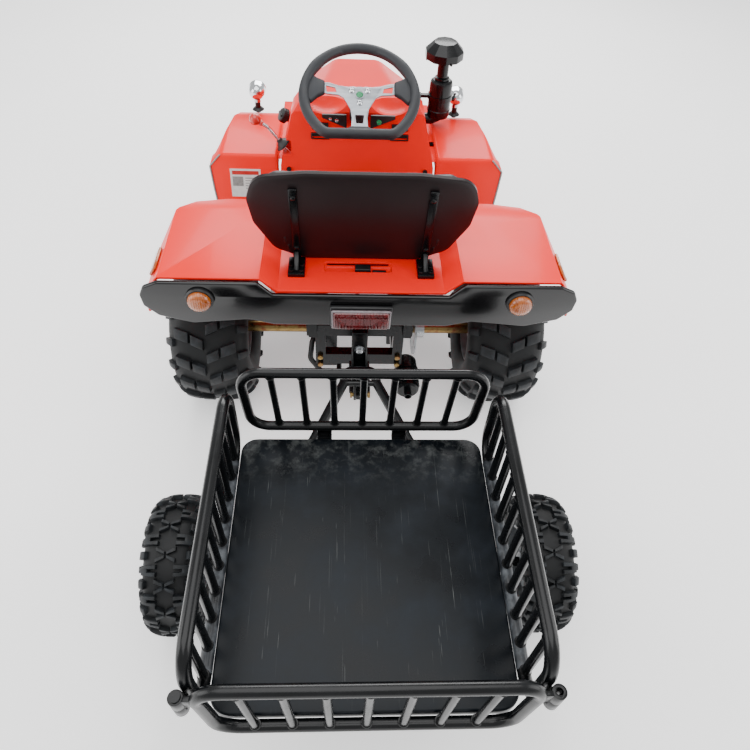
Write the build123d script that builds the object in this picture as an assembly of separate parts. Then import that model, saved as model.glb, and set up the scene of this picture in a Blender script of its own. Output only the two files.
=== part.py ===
from build123d import *
import os
from math import cos, radians, sin

os.makedirs("parts", exist_ok=True)

# A youth farm tractor with a towed box trailer.
# Millimetres, +Y forward, +X to the driver's right, +Z up.
# The origin is on the ground under the rear axle, midway between tailgate and bumper.

# ---- driving dimensions -------------------------------------------------------------
# fits
RUN_FIT = 0.05          # radial clearance of a shaft in its bore
FACE_GAP = 0.3          # clearance between faces of different bodies
PAD_GAP = 0.3           # clearance round a soft part
SHEET = 4.0             # moulded panel wall

# rear axle and wheels
REAR_TYRE_RADIUS = 203.0
REAR_TYRE_WIDTH = 206.0
REAR_HALF_TRACK = 375.0
REAR_RIM_RADIUS = 90.0
REAR_RIM_WIDTH = 150.0
REAR_SHAFT_RADIUS = 15.0
REAR_HUB_RADIUS = 26.0
SPROCKET_RADIUS = 68.0
SPROCKET_X = 0.0
DISC_RADIUS = 74.0
DISC_X = 150.0
DISC_THICKNESS = 5.0

# front axle and wheels
WHEELBASE = 690.0
FRONT_TYRE_RADIUS = 165.0
FRONT_TYRE_WIDTH = 118.0
FRONT_HALF_TRACK = 350.0
FRONT_RIM_RADIUS = 78.0
FRONT_RIM_WIDTH = 88.0
KINGPIN_X = 250.0
KINGPIN_RADIUS = 8.0
KNUCKLE_HEIGHT = 50.0
STUB_RADIUS = 10.0
STEER_ARM = 75.0
TIE_ROD_RADIUS = 7.0
RIM_WALL = 3.5
RIM_LIP = 9.0

# trailer
TRAILER_AXLE_Y = -655.0
TRAILER_HALF_TRACK = 376.0
TRAILER_TYRE_RADIUS = 146.0
TRAILER_TYRE_WIDTH = 112.0
TRAILER_RIM_RADIUS = 76.0
TRAILER_RIM_WIDTH = 82.0
TRAY_TOP = 355.0
TRAY_DEPTH = 21.0
TRAY_HALF_WIDTH = 244.5
TRAY_FRONT_Y = -481.0
TRAY_REAR_Y = -988.0
TRAY_WALL = 3.0
TRAY_CORNER = 32.0
RACK_TUBE = 11.0
RACK_BAR = 8.0
SIDE_RACK_TOP = 528.0
SIDE_RACK_FRONT_Y = -492.0
SIDE_RACK_REAR_Y = -985.0
SIDE_BARS = 10
RACK_CORNER = 48.0
FRONT_RACK_Y = -466.0
FRONT_RACK_TOP = 542.0
FRONT_RACK_BOTTOM = 379.0
FRONT_RACK_HALF_WIDTH = 236.0
GATE_Y = -1009.0
GATE_TOP = 522.0
GATE_BOTTOM = 337.0
GATE_HALF_WIDTH = 241.0
GATE_BARS = 7
HINGE_PIN_RADIUS = 5.0
KNUCKLE_TUBE = 11.0

# hitch
HITCH_PIN_Y = -255.0
HITCH_PIN_RADIUS = 8.0
TONGUE_TOP = 272.0
TONGUE_THICKNESS = 10.0
EYE_THICKNESS = 15.0
PITCH_PIVOT_Y = -302.0
PITCH_PIN_RADIUS = 5.0
DRAWBAR_TUBE = 11.0
DRAWBAR_Z = 323.0

# chassis
RAIL_X = 95.0
RAIL_WIDTH = 25.0
RAIL_HEIGHT = 35.0
RAIL_Z = 250.0
RAIL_REAR_Y = -137.5
RAIL_FRONT_Y = 930.0
TUBE_WALL = 2.5
REAR_BEAM_Z = 350.0
BUMPER_Y = 1009.0
BUMPER_TUBE = 11.0

# bodywork
DECK_Z = 495.0
FENDER_TOP_Z = 530.0
FENDER_REAR_Y = -187.0
FENDER_FRONT_Y = 225.0
FENDER_HALF_WIDTH = 475.0
VALANCE_THICKNESS = 12.0
CONSOLE_REAR_Y = 495.0
CONSOLE_FRONT_Y = 600.0
CONSOLE_TOP_Z = 574.0
HOOD_FRONT_Y = 962.0
FRONT_FENDER_TOP = 420.0
FRONT_FENDER_INNER = 240.0
FRONT_FENDER_OUTER = 444.0

# seat
SEAT_BACK_TILT = 10.0
SEAT_BACK_FOOT_Y = -62.0
SEAT_BACK_SHELL = 12.0
SEAT_BACK_PAD = 42.0
SEAT_HALF_WIDTH = 176.0
SEAT_FRONT_Y = 222.0
SEAT_PAN = 14.0
CUSHION_THICKNESS = 48.0

# steering
STEER_HUB = (0.0, 450.0, 633.0)
COLUMN_TILT = 64.0
STEER_SHAFT_RADIUS = 9.0
COLUMN_TUBE_RADIUS = 13.5
STEER_SHAFT_LENGTH = 455.0
WHEEL_RADIUS = 150.0
WHEEL_GRIP_RADIUS = 14.0
WHEEL_PLATE = 4.0

# controls
LEVER_PIVOT = (-150.0, 520.0, 360.0)
LEVER_RADIUS = 5.0
KNOB_RADIUS = 17.0
PEDAL_X = 190.0
PEDAL_Y = 392.0
FOOTBOARD_Z = 205.0


# ---- helpers ------------------------------------------------------------------------
def block(x, y, z):
    """A box between two coordinates on each axis."""
    centre = ((x[0] + x[1]) / 2, (y[0] + y[1]) / 2, (z[0] + z[1]) / 2)
    return Pos(*centre) * Box(x[1] - x[0], y[1] - y[0], z[1] - z[0])


def rod(start, end, radius):
    """A round bar between two points."""
    run = Vector(*end) - Vector(*start)
    return extrude(Plane(origin=start, z_dir=run) * Circle(radius), run.length)


def pipe(start, end, radius, bore):
    """A round tube between two points."""
    return rod(start, end, radius) - rod(start, end, bore)


def bent_tube(points, bends, radius):
    """A round bar along straight runs joined by tangent arcs."""
    path = FilletPolyline(*points, radius=bends)
    return sweep(Plane(origin=path @ 0, z_dir=path % 0) * Circle(radius), path=path)


def side_sheet(outline, x):
    """A Y-Z outline extruded between two X coordinates."""
    face = make_face(Polyline(*[(x[0], y, z) for y, z in outline], close=True))
    return extrude(face, x[1] - x[0], dir=(1, 0, 0))


def front_sheet(outline, y):
    """An X-Z outline extruded between two Y coordinates."""
    face = make_face(Polyline(*[(a, y[0], z) for a, z in outline], close=True))
    return extrude(face, y[1] - y[0], dir=(0, 1, 0))


def turned(profile, centre):
    """A section of (X offset, radius) points turned about the X axis at a centre."""
    face = make_face(Polyline(*profile, close=True))
    return Pos(*centre) * revolve(face, Axis.X)


def mirrored(shape):
    return mirror(shape, about=Plane.YZ)


def both(shape):
    """A right-hand piece and its left-hand twin."""
    return [shape, mirrored(shape)]


def hexagon(centre, axis, across, height):
    return extrude(Plane(origin=centre, z_dir=axis) * RegularPolygon(across / 2, 6, major_radius=False), height)


def save(name, *shapes):
    """Write one node; several shapes stay separate solids of that node."""
    solids = [solid for shape in shapes for solid in shape.solids()]
    shape = solids[0] if len(solids) == 1 else Compound(children=solids)
    export_step(shape, f"parts/{name}.step")


SIDES = (("left", -1), ("right", 1))
column = Vector(0, -cos(radians(COLUMN_TILT)), sin(radians(COLUMN_TILT)))


def on_column(distance):
    """The point on the steering axis this far below the wheel hub."""
    return Vector(*STEER_HUB) - column * distance


# ---- wheels -------------------------------------------------------------------------
def tyre(radius, width, rim_radius, rim_width, centre):
    """A hollow tyre: a rounded tread over side walls that close on the rim's beads."""
    half, bead, wall = width / 2, rim_width / 2 - RIM_WALL - FACE_GAP, 11.0
    crown, shoulder = radius, radius - 12
    outer = [(-bead, rim_radius + FACE_GAP), (-bead, rim_radius + RIM_LIP + 2),
             (-half, rim_radius + 26), (-half, shoulder - 14), (-half + 12, shoulder + 4), (-half + 30, crown), (half - 30, crown),
             (half - 12, shoulder + 4), (half, shoulder - 14), (half, rim_radius + 26),
             (bead, rim_radius + RIM_LIP + 2), (bead, rim_radius + FACE_GAP)]
    inner = [(bead - wall, rim_radius + FACE_GAP), (half - wall, rim_radius + 30),
             (half - wall, shoulder - 22), (half - 34, crown - wall), (-half + 34, crown - wall),
             (-half + wall, shoulder - 22), (-half + wall, rim_radius + 30),
             (-bead + wall, rim_radius + FACE_GAP)]
    return turned(outer + inner, centre)


def rim(radius, width, hub_radius, bore, disc_x, hub_x, centre, bolts, bolt_circle):
    """A pressed rim: barrel with rolled lips, a bolted disc and a hub round the bore."""
    half, wall, disc = width / 2, RIM_WALL, 5.0
    barrel = turned([(-half, radius - wall), (-half, radius + RIM_LIP), (-half + wall, radius + RIM_LIP),
                     (-half + wall, radius), (half - wall, radius), (half - wall, radius + RIM_LIP),
                     (half, radius + RIM_LIP), (half, radius - wall)], centre)
    web = turned([(disc_x, bore), (disc_x, radius - 1), (disc_x + disc, radius - 1), (disc_x + disc, bore)],
                 centre)
    hub = turned([(hub_x[0], bore), (hub_x[0], hub_radius), (hub_x[1], hub_radius), (hub_x[1], bore)], centre)
    wheel = barrel + web + hub
    heads = []
    for place in PolarLocations(bolt_circle, bolts):
        y, z = centre[1] + place.position.X, centre[2] + place.position.Y
        heads.append(hexagon((centre[0] + disc_x + disc, y, z), (1, 0, 0), 17, 9))
    return [wheel] + heads


def with_side(shapes, side):
    """Right-hand shapes as they are, or their left-hand twins."""
    return shapes if side > 0 else [mirrored(shape) for shape in shapes]


rear_centre = (REAR_HALF_TRACK, 0, REAR_TYRE_RADIUS)
front_centre = (FRONT_HALF_TRACK, WHEELBASE, FRONT_TYRE_RADIUS)
trailer_centre = (TRAILER_HALF_TRACK, TRAILER_AXLE_Y, TRAILER_TYRE_RADIUS)

for name, side in SIDES:
    save(f"rear_tyre_{name}", *with_side([tyre(REAR_TYRE_RADIUS, REAR_TYRE_WIDTH, REAR_RIM_RADIUS,
                                               REAR_RIM_WIDTH, rear_centre)], side))
    save(f"front_tyre_{name}", *with_side([tyre(FRONT_TYRE_RADIUS, FRONT_TYRE_WIDTH, FRONT_RIM_RADIUS,
                                                FRONT_RIM_WIDTH, front_centre)], side))
    save(f"trailer_tyre_{name}", *with_side([tyre(TRAILER_TYRE_RADIUS, TRAILER_TYRE_WIDTH, TRAILER_RIM_RADIUS,
                                                  TRAILER_RIM_WIDTH, trailer_centre)], side))
    save(f"front_rim_{name}", *with_side(rim(FRONT_RIM_RADIUS, FRONT_RIM_WIDTH, 22, STUB_RADIUS + RUN_FIT,
                                             4, (-34, 30), front_centre, 4, 44), side))
    save(f"trailer_rim_{name}", *with_side(rim(TRAILER_RIM_RADIUS, TRAILER_RIM_WIDTH, 22, STUB_RADIUS + RUN_FIT,
                                               4, (-34, 30), trailer_centre, 4, 44), side))
rear_rim = rim(REAR_RIM_RADIUS, REAR_RIM_WIDTH, REAR_HUB_RADIUS, REAR_SHAFT_RADIUS + RUN_FIT,
               -10, (-70, 20), rear_centre, 4, 55)
save("rear_rims", *rear_rim, *with_side(rear_rim, -1))

# ---- live rear axle -----------------------------------------------------------------
axle_z = REAR_TYRE_RADIUS
shaft_end = REAR_HALF_TRACK + 34
shaft = rod((-shaft_end, 0, axle_z), (shaft_end, 0, axle_z), REAR_SHAFT_RADIUS)
collars = []
for collar_x in (-122.0, -132.0, 118.0):
    collars.append(turned([(0, REAR_SHAFT_RADIUS), (0, 21), (7, 21), (7, REAR_SHAFT_RADIUS)],
                          (collar_x, 0, axle_z)))
for collar in collars:
    shaft = shaft + collar
axle_nuts = both(hexagon((shaft_end - 14, 0, axle_z), (1, 0, 0), 40, 12) -
                 rod((shaft_end - 20, 0, axle_z), (shaft_end, 0, axle_z), REAR_SHAFT_RADIUS + RUN_FIT))
save("rear_axle_shaft", shaft, *axle_nuts)

sprocket_teeth = 36
tooth_gap = 4.0
sprocket_plate = turned([(-3, REAR_SHAFT_RADIUS + RUN_FIT), (-3, SPROCKET_RADIUS), (3, SPROCKET_RADIUS),
                         (3, REAR_SHAFT_RADIUS + RUN_FIT)], (SPROCKET_X, 0, axle_z))
sprocket_hub = turned([(3, REAR_SHAFT_RADIUS + RUN_FIT), (3, 24), (22, 24), (22, REAR_SHAFT_RADIUS + RUN_FIT)],
                      (SPROCKET_X, 0, axle_z))
sprocket = sprocket_plate + sprocket_hub
for place in PolarLocations(SPROCKET_RADIUS, sprocket_teeth):
    tooth_y, tooth_z = place.position.X, axle_z + place.position.Y
    sprocket = sprocket - rod((SPROCKET_X - 5, tooth_y, tooth_z), (SPROCKET_X + 5, tooth_y, tooth_z), tooth_gap)
brake_disc = turned([(0, REAR_SHAFT_RADIUS + RUN_FIT), (0, DISC_RADIUS), (DISC_THICKNESS, DISC_RADIUS),
                     (DISC_THICKNESS, REAR_SHAFT_RADIUS + RUN_FIT)], (DISC_X, 0, axle_z))
disc_hub = turned([(DISC_THICKNESS, REAR_SHAFT_RADIUS + RUN_FIT), (DISC_THICKNESS, 27), (30, 27),
                   (30, REAR_SHAFT_RADIUS + RUN_FIT)], (DISC_X, 0, axle_z))
brake_disc = brake_disc + disc_hub
for place in PolarLocations(DISC_RADIUS - 18, 8):
    hole_y, hole_z = place.position.X, axle_z + place.position.Y
    brake_disc = brake_disc - rod((DISC_X - 1, hole_y, hole_z), (DISC_X + DISC_THICKNESS + 1, hole_y, hole_z), 6)
save("axle_discs", sprocket, brake_disc)

# ---- chassis ------------------------------------------------------------------------
rail_low, rail_high = RAIL_Z - RAIL_HEIGHT / 2, RAIL_Z + RAIL_HEIGHT / 2
rail_inner, rail_outer = RAIL_X - RAIL_WIDTH / 2, RAIL_X + RAIL_WIDTH / 2
rail_y = (RAIL_REAR_Y, RAIL_FRONT_Y)
rail = block((rail_inner, rail_outer), rail_y, (rail_low, rail_high))
rail = rail - block((rail_inner + TUBE_WALL, rail_outer - TUBE_WALL), rail_y,
                    (rail_low + TUBE_WALL, rail_high - TUBE_WALL))


def cross_tube(y, z=(rail_low, rail_high), half=rail_inner):
    """A rectangular tube across the frame, open at its ends."""
    tube = block((-half, half), y, z)
    return tube - block((-half, half), (y[0] + TUBE_WALL, y[1] - TUBE_WALL),
                        (z[0] + TUBE_WALL, z[1] - TUBE_WALL))


rear_tube_y = (RAIL_REAR_Y - RAIL_WIDTH, RAIL_REAR_Y)
rear_cross = cross_tube(rear_tube_y, half=rail_outer)
rear_post = block((rail_inner, rail_outer), rear_tube_y, (rail_high, REAR_BEAM_Z - RAIL_HEIGHT / 2))
rear_beam_z = (REAR_BEAM_Z - RAIL_HEIGHT / 2, REAR_BEAM_Z + RAIL_HEIGHT / 2)
rear_beam = cross_tube(rear_tube_y, rear_beam_z, rail_outer + 20)
shaft_pass_y = on_column((STEER_HUB[2] - RAIL_Z) / column.Z).Y
column_plate = block((-rail_inner, rail_inner), (shaft_pass_y - 28, shaft_pass_y + 28), (RAIL_Z - 8, RAIL_Z + 8))
column_plate = column_plate - rod(on_column(STEER_SHAFT_LENGTH + 60), on_column(300),
                                  STEER_SHAFT_RADIUS + RUN_FIT)
engine_tube_y = (162.5, 187.5)
front_tube_y = (RAIL_FRONT_Y - 60, RAIL_FRONT_Y - 35)
frame_pieces = [*both(rail), rear_cross, *both(rear_post), rear_beam, cross_tube(engine_tube_y),
                column_plate, cross_tube(front_tube_y)]

# two hoops carry the deck and the seat
deck_under = DECK_Z - SHEET
for post_y in ((-20.0, 0.0), (120.0, 140.0)):
    legs = both(block((rail_inner, rail_outer), post_y, (rail_high, deck_under - 20)))
    frame_pieces += legs + [block((-rail_outer, rail_outer), post_y, (deck_under - 20, deck_under))]

# bearing blocks hang under the rails and hold the live axle
left_box = block((-rail_outer - 6, -56), (-48, 48), (axle_z - 108, rail_low))
right_box = block((rail_inner - 4, rail_outer + 2), (-34, 34), (axle_z - 34, rail_low))
axle_bore = rod((-200, 0, axle_z), (200, 0, axle_z), REAR_SHAFT_RADIUS + RUN_FIT)
caliper = block((DISC_X - 16, DISC_X + DISC_THICKNESS + 16), (30, 72), (axle_z + 22, axle_z + 74))
caliper = caliper - block((DISC_X - 1, DISC_X + DISC_THICKNESS + 1), (20, 80), (axle_z, axle_z + 90))
caliper_arm = block((rail_outer, DISC_X + DISC_THICKNESS + 16), (72, 80), (axle_z + 40, axle_z + 62))
save("axle_carrier", left_box - axle_bore, right_box - axle_bore, caliper + caliper_arm)

# ---- engine, muffler and pedals' footboards ------------------------------------------
crankcase = block((-76, 76), (engine_tube_y[1], 400), (168, 312))
crankcase = fillet(crankcase.edges().filter_by(Axis.Y), 22)
engine_axis_z = 238.0
cylinder = rod((0, 400, engine_axis_z), (0, 482, engine_axis_z), 34)
for fin in range(7):
    fin_y = 408 + fin * 11
    cylinder = cylinder + rod((0, fin_y, engine_axis_z), (0, fin_y + 4, engine_axis_z), 52)
generator_cover = rod((-76, 290, 235), (-90, 290, 235), 46)
save("engine", crankcase, cylinder, generator_cover - block((-130, -rail_inner), (200, 400), (rail_low, rail_high)))

muffler_x, muffler_z, muffler_radius = 128.0, 165.0, 30.0
muffler = rod((muffler_x, -196, muffler_z), (muffler_x, -82, muffler_z), muffler_radius)
muffler = muffler + rod((muffler_x, -208, muffler_z), (muffler_x, -196, muffler_z), 9)
strap = block((rail_inner, rail_outer), (-136, -124), (muffler_z, rail_low)) - rod(
    (muffler_x, -150, muffler_z), (muffler_x, -110, muffler_z), muffler_radius - 1)
save("muffler", muffler + strap)

footboard_x = (rail_outer, 402.0)
footboard_y = (96.0, 462.0)
footboard = block(footboard_x, footboard_y, (FOOTBOARD_Z - 3, FOOTBOARD_Z))
footboard = footboard - block((REAR_HALF_TRACK - REAR_TYRE_WIDTH / 2 - 24, 420),
                              (footboard_y[0] - 5, REAR_TYRE_RADIUS + 14), (0, FOOTBOARD_Z + 5))
footboard = footboard + block(footboard_x, (footboard_y[1] - 3, footboard_y[1]), (FOOTBOARD_Z, FOOTBOARD_Z + 24))
footboard = footboard + block((rail_outer, rail_outer + 3), footboard_y, (FOOTBOARD_Z, rail_high))
PEDAL_PIN = 6.0
PEDAL_HALF = 32.0
pedal_z = FOOTBOARD_Z + PEDAL_PIN + 8
for lug_x in (PEDAL_X - PEDAL_HALF - 7, PEDAL_X + PEDAL_HALF + 2):
    lug = block((lug_x, lug_x + 5), (PEDAL_Y - 11, PEDAL_Y + 11), (FOOTBOARD_Z, pedal_z + 11))
    footboard = footboard + (lug - rod((lug_x - 1, PEDAL_Y, pedal_z), (lug_x + 6, PEDAL_Y, pedal_z),
                                       PEDAL_PIN + RUN_FIT))
save("footboards", *both(footboard))

pedal_pin = rod((PEDAL_X - PEDAL_HALF - 7, PEDAL_Y, pedal_z), (PEDAL_X + PEDAL_HALF + 7, PEDAL_Y, pedal_z), PEDAL_PIN)
pedal_plate = Pos(PEDAL_X, PEDAL_Y, pedal_z) * Rot(-35, 0, 0) * block((-PEDAL_HALF + 1, PEDAL_HALF - 1),
                                                                      (-4, 4), (0, 78))
pedal = pedal_pin + pedal_plate
save("brake_pedal", mirrored(pedal))
save("throttle_pedal", pedal)

# ---- hitch --------------------------------------------------------------------------
post_y = (rear_tube_y[0] - 25, rear_tube_y[0])
hitch_post = block((-19, 19), post_y, (TONGUE_TOP - TONGUE_THICKNESS, rear_beam_z[1]))
tongue = block((-25, 25), (HITCH_PIN_Y - 30, post_y[0]), (TONGUE_TOP - TONGUE_THICKNESS, TONGUE_TOP))
tongue = fillet(tongue.edges().filter_by(Axis.Z).group_by(Axis.Y)[0], 18)
pin_point = (0, HITCH_PIN_Y)
tongue_hole = rod((*pin_point, 200), (*pin_point, 400), HITCH_PIN_RADIUS + RUN_FIT)
post_bolt = hexagon((0, post_y[0], 312), (0, -1, 0), 17, 7)
save("hitch_post", hitch_post + tongue - tongue_hole, post_bolt)

eye_low = TONGUE_TOP + FACE_GAP
eye_high = eye_low + EYE_THICKNESS
hitch_pin = rod((*pin_point, TONGUE_TOP - TONGUE_THICKNESS - 14), (*pin_point, eye_high + FACE_GAP), HITCH_PIN_RADIUS)
hitch_pin = hitch_pin + rod((*pin_point, eye_high + FACE_GAP), (*pin_point, eye_high + FACE_GAP + 9), 13)
save("hitch_pin", hitch_pin)

coupler = rod((*pin_point, eye_low), (*pin_point, eye_high), 20)
coupler = coupler + block((-9, 9), (PITCH_PIVOT_Y - 9, HITCH_PIN_Y - 14), (eye_low, eye_high))
pitch_z = (eye_low + eye_high) / 2
coupler = coupler - rod((*pin_point, 200), (*pin_point, 400), HITCH_PIN_RADIUS + RUN_FIT)
coupler = coupler - rod((-20, PITCH_PIVOT_Y, pitch_z), (20, PITCH_PIVOT_Y, pitch_z), PITCH_PIN_RADIUS + RUN_FIT)
save("hitch_coupler", coupler)

# ---- trailer ------------------------------------------------------------------------
arch_half, leg_reach, leg_x = 38.0, 430.0, 88.0
frame_bar_x = (152.5, 177.5)
frame_bar_z = (TRAY_TOP - TRAY_WALL - 20, TRAY_TOP - TRAY_WALL)
leg_slope = (leg_x - arch_half) / (leg_reach - 304.0)
leg_end_x = frame_bar_x[0] + 10
leg_end_y = -leg_reach - (leg_end_x - leg_x) / leg_slope
leg = bent_tube([(0, -266, DRAWBAR_Z), (arch_half - 6, -266, DRAWBAR_Z), (arch_half, -304, DRAWBAR_Z),
                 (leg_end_x, leg_end_y, DRAWBAR_Z)], 18, DRAWBAR_TUBE)
frame_bar = block(frame_bar_x, (TRAY_REAR_Y + 14, TRAY_FRONT_Y - 12), frame_bar_z)
leg = leg - frame_bar
cross_y = PITCH_PIVOT_Y - 2
ear_bar = rod((-42, cross_y, DRAWBAR_Z), (42, cross_y, DRAWBAR_Z), 7)
ear = block((9 + FACE_GAP, 15), (PITCH_PIVOT_Y - 10, PITCH_PIVOT_Y + 10), (pitch_z - 10, DRAWBAR_Z))
ear_bore = rod((-30, PITCH_PIVOT_Y, pitch_z), (30, PITCH_PIVOT_Y, pitch_z), PITCH_PIN_RADIUS + RUN_FIT)
yoke = ear_bar + ear - ear_bore
yoke = yoke + (mirrored(ear) - ear_bore)
pivot_bolt = rod((-18, PITCH_PIVOT_Y, pitch_z), (18, PITCH_PIVOT_Y, pitch_z), PITCH_PIN_RADIUS)
pivot_bolt = pivot_bolt + hexagon((18, PITCH_PIVOT_Y, pitch_z), (1, 0, 0), 14, 6)
save("drawbar", *[piece - ear_bar for piece in both(leg)], yoke, pivot_bolt)

tray_outline = RectangleRounded(2 * TRAY_HALF_WIDTH, TRAY_FRONT_Y - TRAY_REAR_Y, TRAY_CORNER)
tray_place = Pos(0, (TRAY_FRONT_Y + TRAY_REAR_Y) / 2, TRAY_TOP - TRAY_DEPTH)
tray_pocket = RectangleRounded(2 * (TRAY_HALF_WIDTH - TRAY_WALL), TRAY_FRONT_Y - TRAY_REAR_Y - 2 * TRAY_WALL,
                               TRAY_CORNER - TRAY_WALL)
tray = tray_place * (extrude(tray_outline, TRAY_DEPTH) - extrude(tray_pocket, TRAY_DEPTH - TRAY_WALL))
frame_cross = [block((-frame_bar_x[0], frame_bar_x[0]), (y, y + 25), frame_bar_z)
               for y in (TRAY_REAR_Y + 14, TRAILER_AXLE_Y - 12.5)]
save("cargo_tray", tray)

stub_end = TRAILER_HALF_TRACK + 44
beam_half = 15.0
axle_beam = block((-300, 300), (TRAILER_AXLE_Y - beam_half, TRAILER_AXLE_Y + beam_half),
                  (TRAILER_TYRE_RADIUS - beam_half, TRAILER_TYRE_RADIUS + beam_half))
axle_beam = axle_beam + rod((-stub_end, TRAILER_AXLE_Y, TRAILER_TYRE_RADIUS),
                            (stub_end, TRAILER_AXLE_Y, TRAILER_TYRE_RADIUS), STUB_RADIUS)
riser = block(frame_bar_x, (TRAILER_AXLE_Y - beam_half, TRAILER_AXLE_Y + beam_half),
              (TRAILER_TYRE_RADIUS + beam_half, frame_bar_z[0]))
stub_nuts = both(hexagon((TRAILER_HALF_TRACK + 32, TRAILER_AXLE_Y, TRAILER_TYRE_RADIUS), (1, 0, 0), 26, 9) -
                 rod((stub_end - 60, TRAILER_AXLE_Y, TRAILER_TYRE_RADIUS),
                     (stub_end, TRAILER_AXLE_Y, TRAILER_TYRE_RADIUS), STUB_RADIUS + RUN_FIT))
trailer_pieces = [*both(frame_bar), *frame_cross, axle_beam, *both(riser), *stub_nuts]


def hoop(corners, bend, radius):
    """A closed tube frame from two mirrored halves, joined at the middle."""
    path = FilletPolyline(*corners, radius=bend, close=True)
    start = path @ 0
    return sweep(Plane(origin=start, z_dir=path % 0) * Circle(radius), path=path)


knuckle_y = GATE_Y + 3
knuckle_x = GATE_HALF_WIDTH + 25
knuckle_low, knuckle_mid, knuckle_high = 432.0, 460.0, 488.0
side_x = TRAY_HALF_WIDTH + RACK_TUBE
bar_pitch = (SIDE_RACK_FRONT_Y - SIDE_RACK_REAR_Y - 2 * 42) / (SIDE_BARS - 1)
side_rack = hoop([(side_x, SIDE_RACK_FRONT_Y, TRAY_TOP), (side_x, SIDE_RACK_FRONT_Y, SIDE_RACK_TOP),
                  (side_x, SIDE_RACK_REAR_Y, SIDE_RACK_TOP), (side_x, SIDE_RACK_REAR_Y, TRAY_TOP)],
                 RACK_CORNER, RACK_TUBE)
for bar in range(SIDE_BARS):
    bar_y = SIDE_RACK_FRONT_Y - 42 - bar * bar_pitch
    side_rack = side_rack + rod((side_x, bar_y, TRAY_TOP), (side_x, bar_y, SIDE_RACK_TOP), RACK_BAR)
side_knuckle = rod((knuckle_x, knuckle_y, knuckle_low), (knuckle_x, knuckle_y, knuckle_mid - FACE_GAP), KNUCKLE_TUBE)
side_lug = block((side_x + 3, knuckle_x), (knuckle_y + 4, SIDE_RACK_REAR_Y - 6),
                 (knuckle_low, knuckle_mid - FACE_GAP))
knuckle_bore = rod((knuckle_x, knuckle_y, knuckle_low - 10), (knuckle_x, knuckle_y, knuckle_high + 10),
                   HINGE_PIN_RADIUS + RUN_FIT)
side_rack = side_rack + side_lug + side_knuckle - knuckle_bore
for name, side in SIDES:
    save(f"side_rack_{name}", *with_side([side_rack], side))

hinge_pin = rod((-knuckle_x, knuckle_y, knuckle_low - 6), (-knuckle_x, knuckle_y, knuckle_high + 5), HINGE_PIN_RADIUS)
hinge_pin = hinge_pin + rod((-knuckle_x, knuckle_y, knuckle_high + FACE_GAP),
                            (-knuckle_x, knuckle_y, knuckle_high + 6), 8)
save("trailer_chassis", *trailer_pieces, hinge_pin)


def end_frame(y, half_top, half_bottom, low, high, bars, radius):
    """The rounded end frame with evenly spaced upright bars, narrower at the bottom."""
    frame = hoop([(-half_bottom, y, low), (-half_top, y, high), (half_top, y, high), (half_bottom, y, low)],
                 RACK_CORNER - 8, radius)
    pitch = 2 * half_bottom / (bars + 1)
    for bar in range(bars):
        foot_x = -half_bottom + (bar + 1) * pitch
        head_x = foot_x * half_top / half_bottom
        frame = frame + rod((foot_x, y, low), (head_x, y, high), RACK_BAR - 1)
    return frame


front_rack = end_frame(FRONT_RACK_Y, FRONT_RACK_HALF_WIDTH, FRONT_RACK_HALF_WIDTH - 12, FRONT_RACK_BOTTOM,
                       FRONT_RACK_TOP, 7, RACK_TUBE - 1)
rack_foot_z = (TRAY_TOP - 12, TRAY_TOP - 5)
rack_foot = block((62, 92), (TRAY_FRONT_Y, FRONT_RACK_Y + 4), rack_foot_z)
rack_foot = rack_foot + block((62, 92), (FRONT_RACK_Y - 4, FRONT_RACK_Y + 4), (rack_foot_z[0], FRONT_RACK_BOTTOM))
front_rack = front_rack + rack_foot + mirrored(rack_foot)
save("front_rack", front_rack)

gate = end_frame(GATE_Y, GATE_HALF_WIDTH, GATE_HALF_WIDTH - 14, GATE_BOTTOM, GATE_TOP, GATE_BARS, RACK_TUBE - 1)
gate_knuckle = rod((knuckle_x, knuckle_y, knuckle_mid), (knuckle_x, knuckle_y, knuckle_high), KNUCKLE_TUBE)
gate_lug = block((GATE_HALF_WIDTH - 6, knuckle_x), (GATE_Y - 3, GATE_Y + 5), (knuckle_mid, knuckle_high))
gate = gate + gate_lug + gate_knuckle + mirrored(gate_lug) + mirrored(gate_knuckle)
save("tailgate", gate - knuckle_bore - mirrored(knuckle_bore))

# ---- front axle, knuckles and tie rod -------------------------------------------------
axle_height = FRONT_TYRE_RADIUS
knuckle_z = (axle_height - KNUCKLE_HEIGHT / 2, axle_height + KNUCKLE_HEIGHT / 2)
beam_end = KINGPIN_X - 17
front_beam = rod((-beam_end, WHEELBASE, axle_height), (beam_end, WHEELBASE, axle_height), 15)
kingpins = []
for side in (-1, 1):
    pin_x = side * KINGPIN_X
    low_x, high_x = sorted((side * (beam_end - 12), side * (KINGPIN_X + 15)))
    web_low, web_high = sorted((side * (beam_end - 12), side * beam_end))
    y_range = (WHEELBASE - 15, WHEELBASE + 15)
    clevis = block((low_x, high_x), y_range, (knuckle_z[1] + FACE_GAP, knuckle_z[1] + 8))
    clevis = clevis + block((low_x, high_x), y_range, (knuckle_z[0] - 8, knuckle_z[0] - FACE_GAP))
    clevis = clevis + block((web_low, web_high), y_range, (knuckle_z[0] - 8, knuckle_z[1] + 8))
    clevis = clevis - rod((pin_x, WHEELBASE, 100), (pin_x, WHEELBASE, 230), KINGPIN_RADIUS)
    front_beam = front_beam + clevis
    kingpins.append(rod((pin_x, WHEELBASE, knuckle_z[0] - 10), (pin_x, WHEELBASE, knuckle_z[1] + 10), KINGPIN_RADIUS))
saddle = both(block((rail_inner, rail_outer), (WHEELBASE - 18, WHEELBASE + 18), (axle_height + 8, rail_low)))
save("front_axle_beam", front_beam, *kingpins, *[piece - front_beam for piece in saddle])

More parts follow.
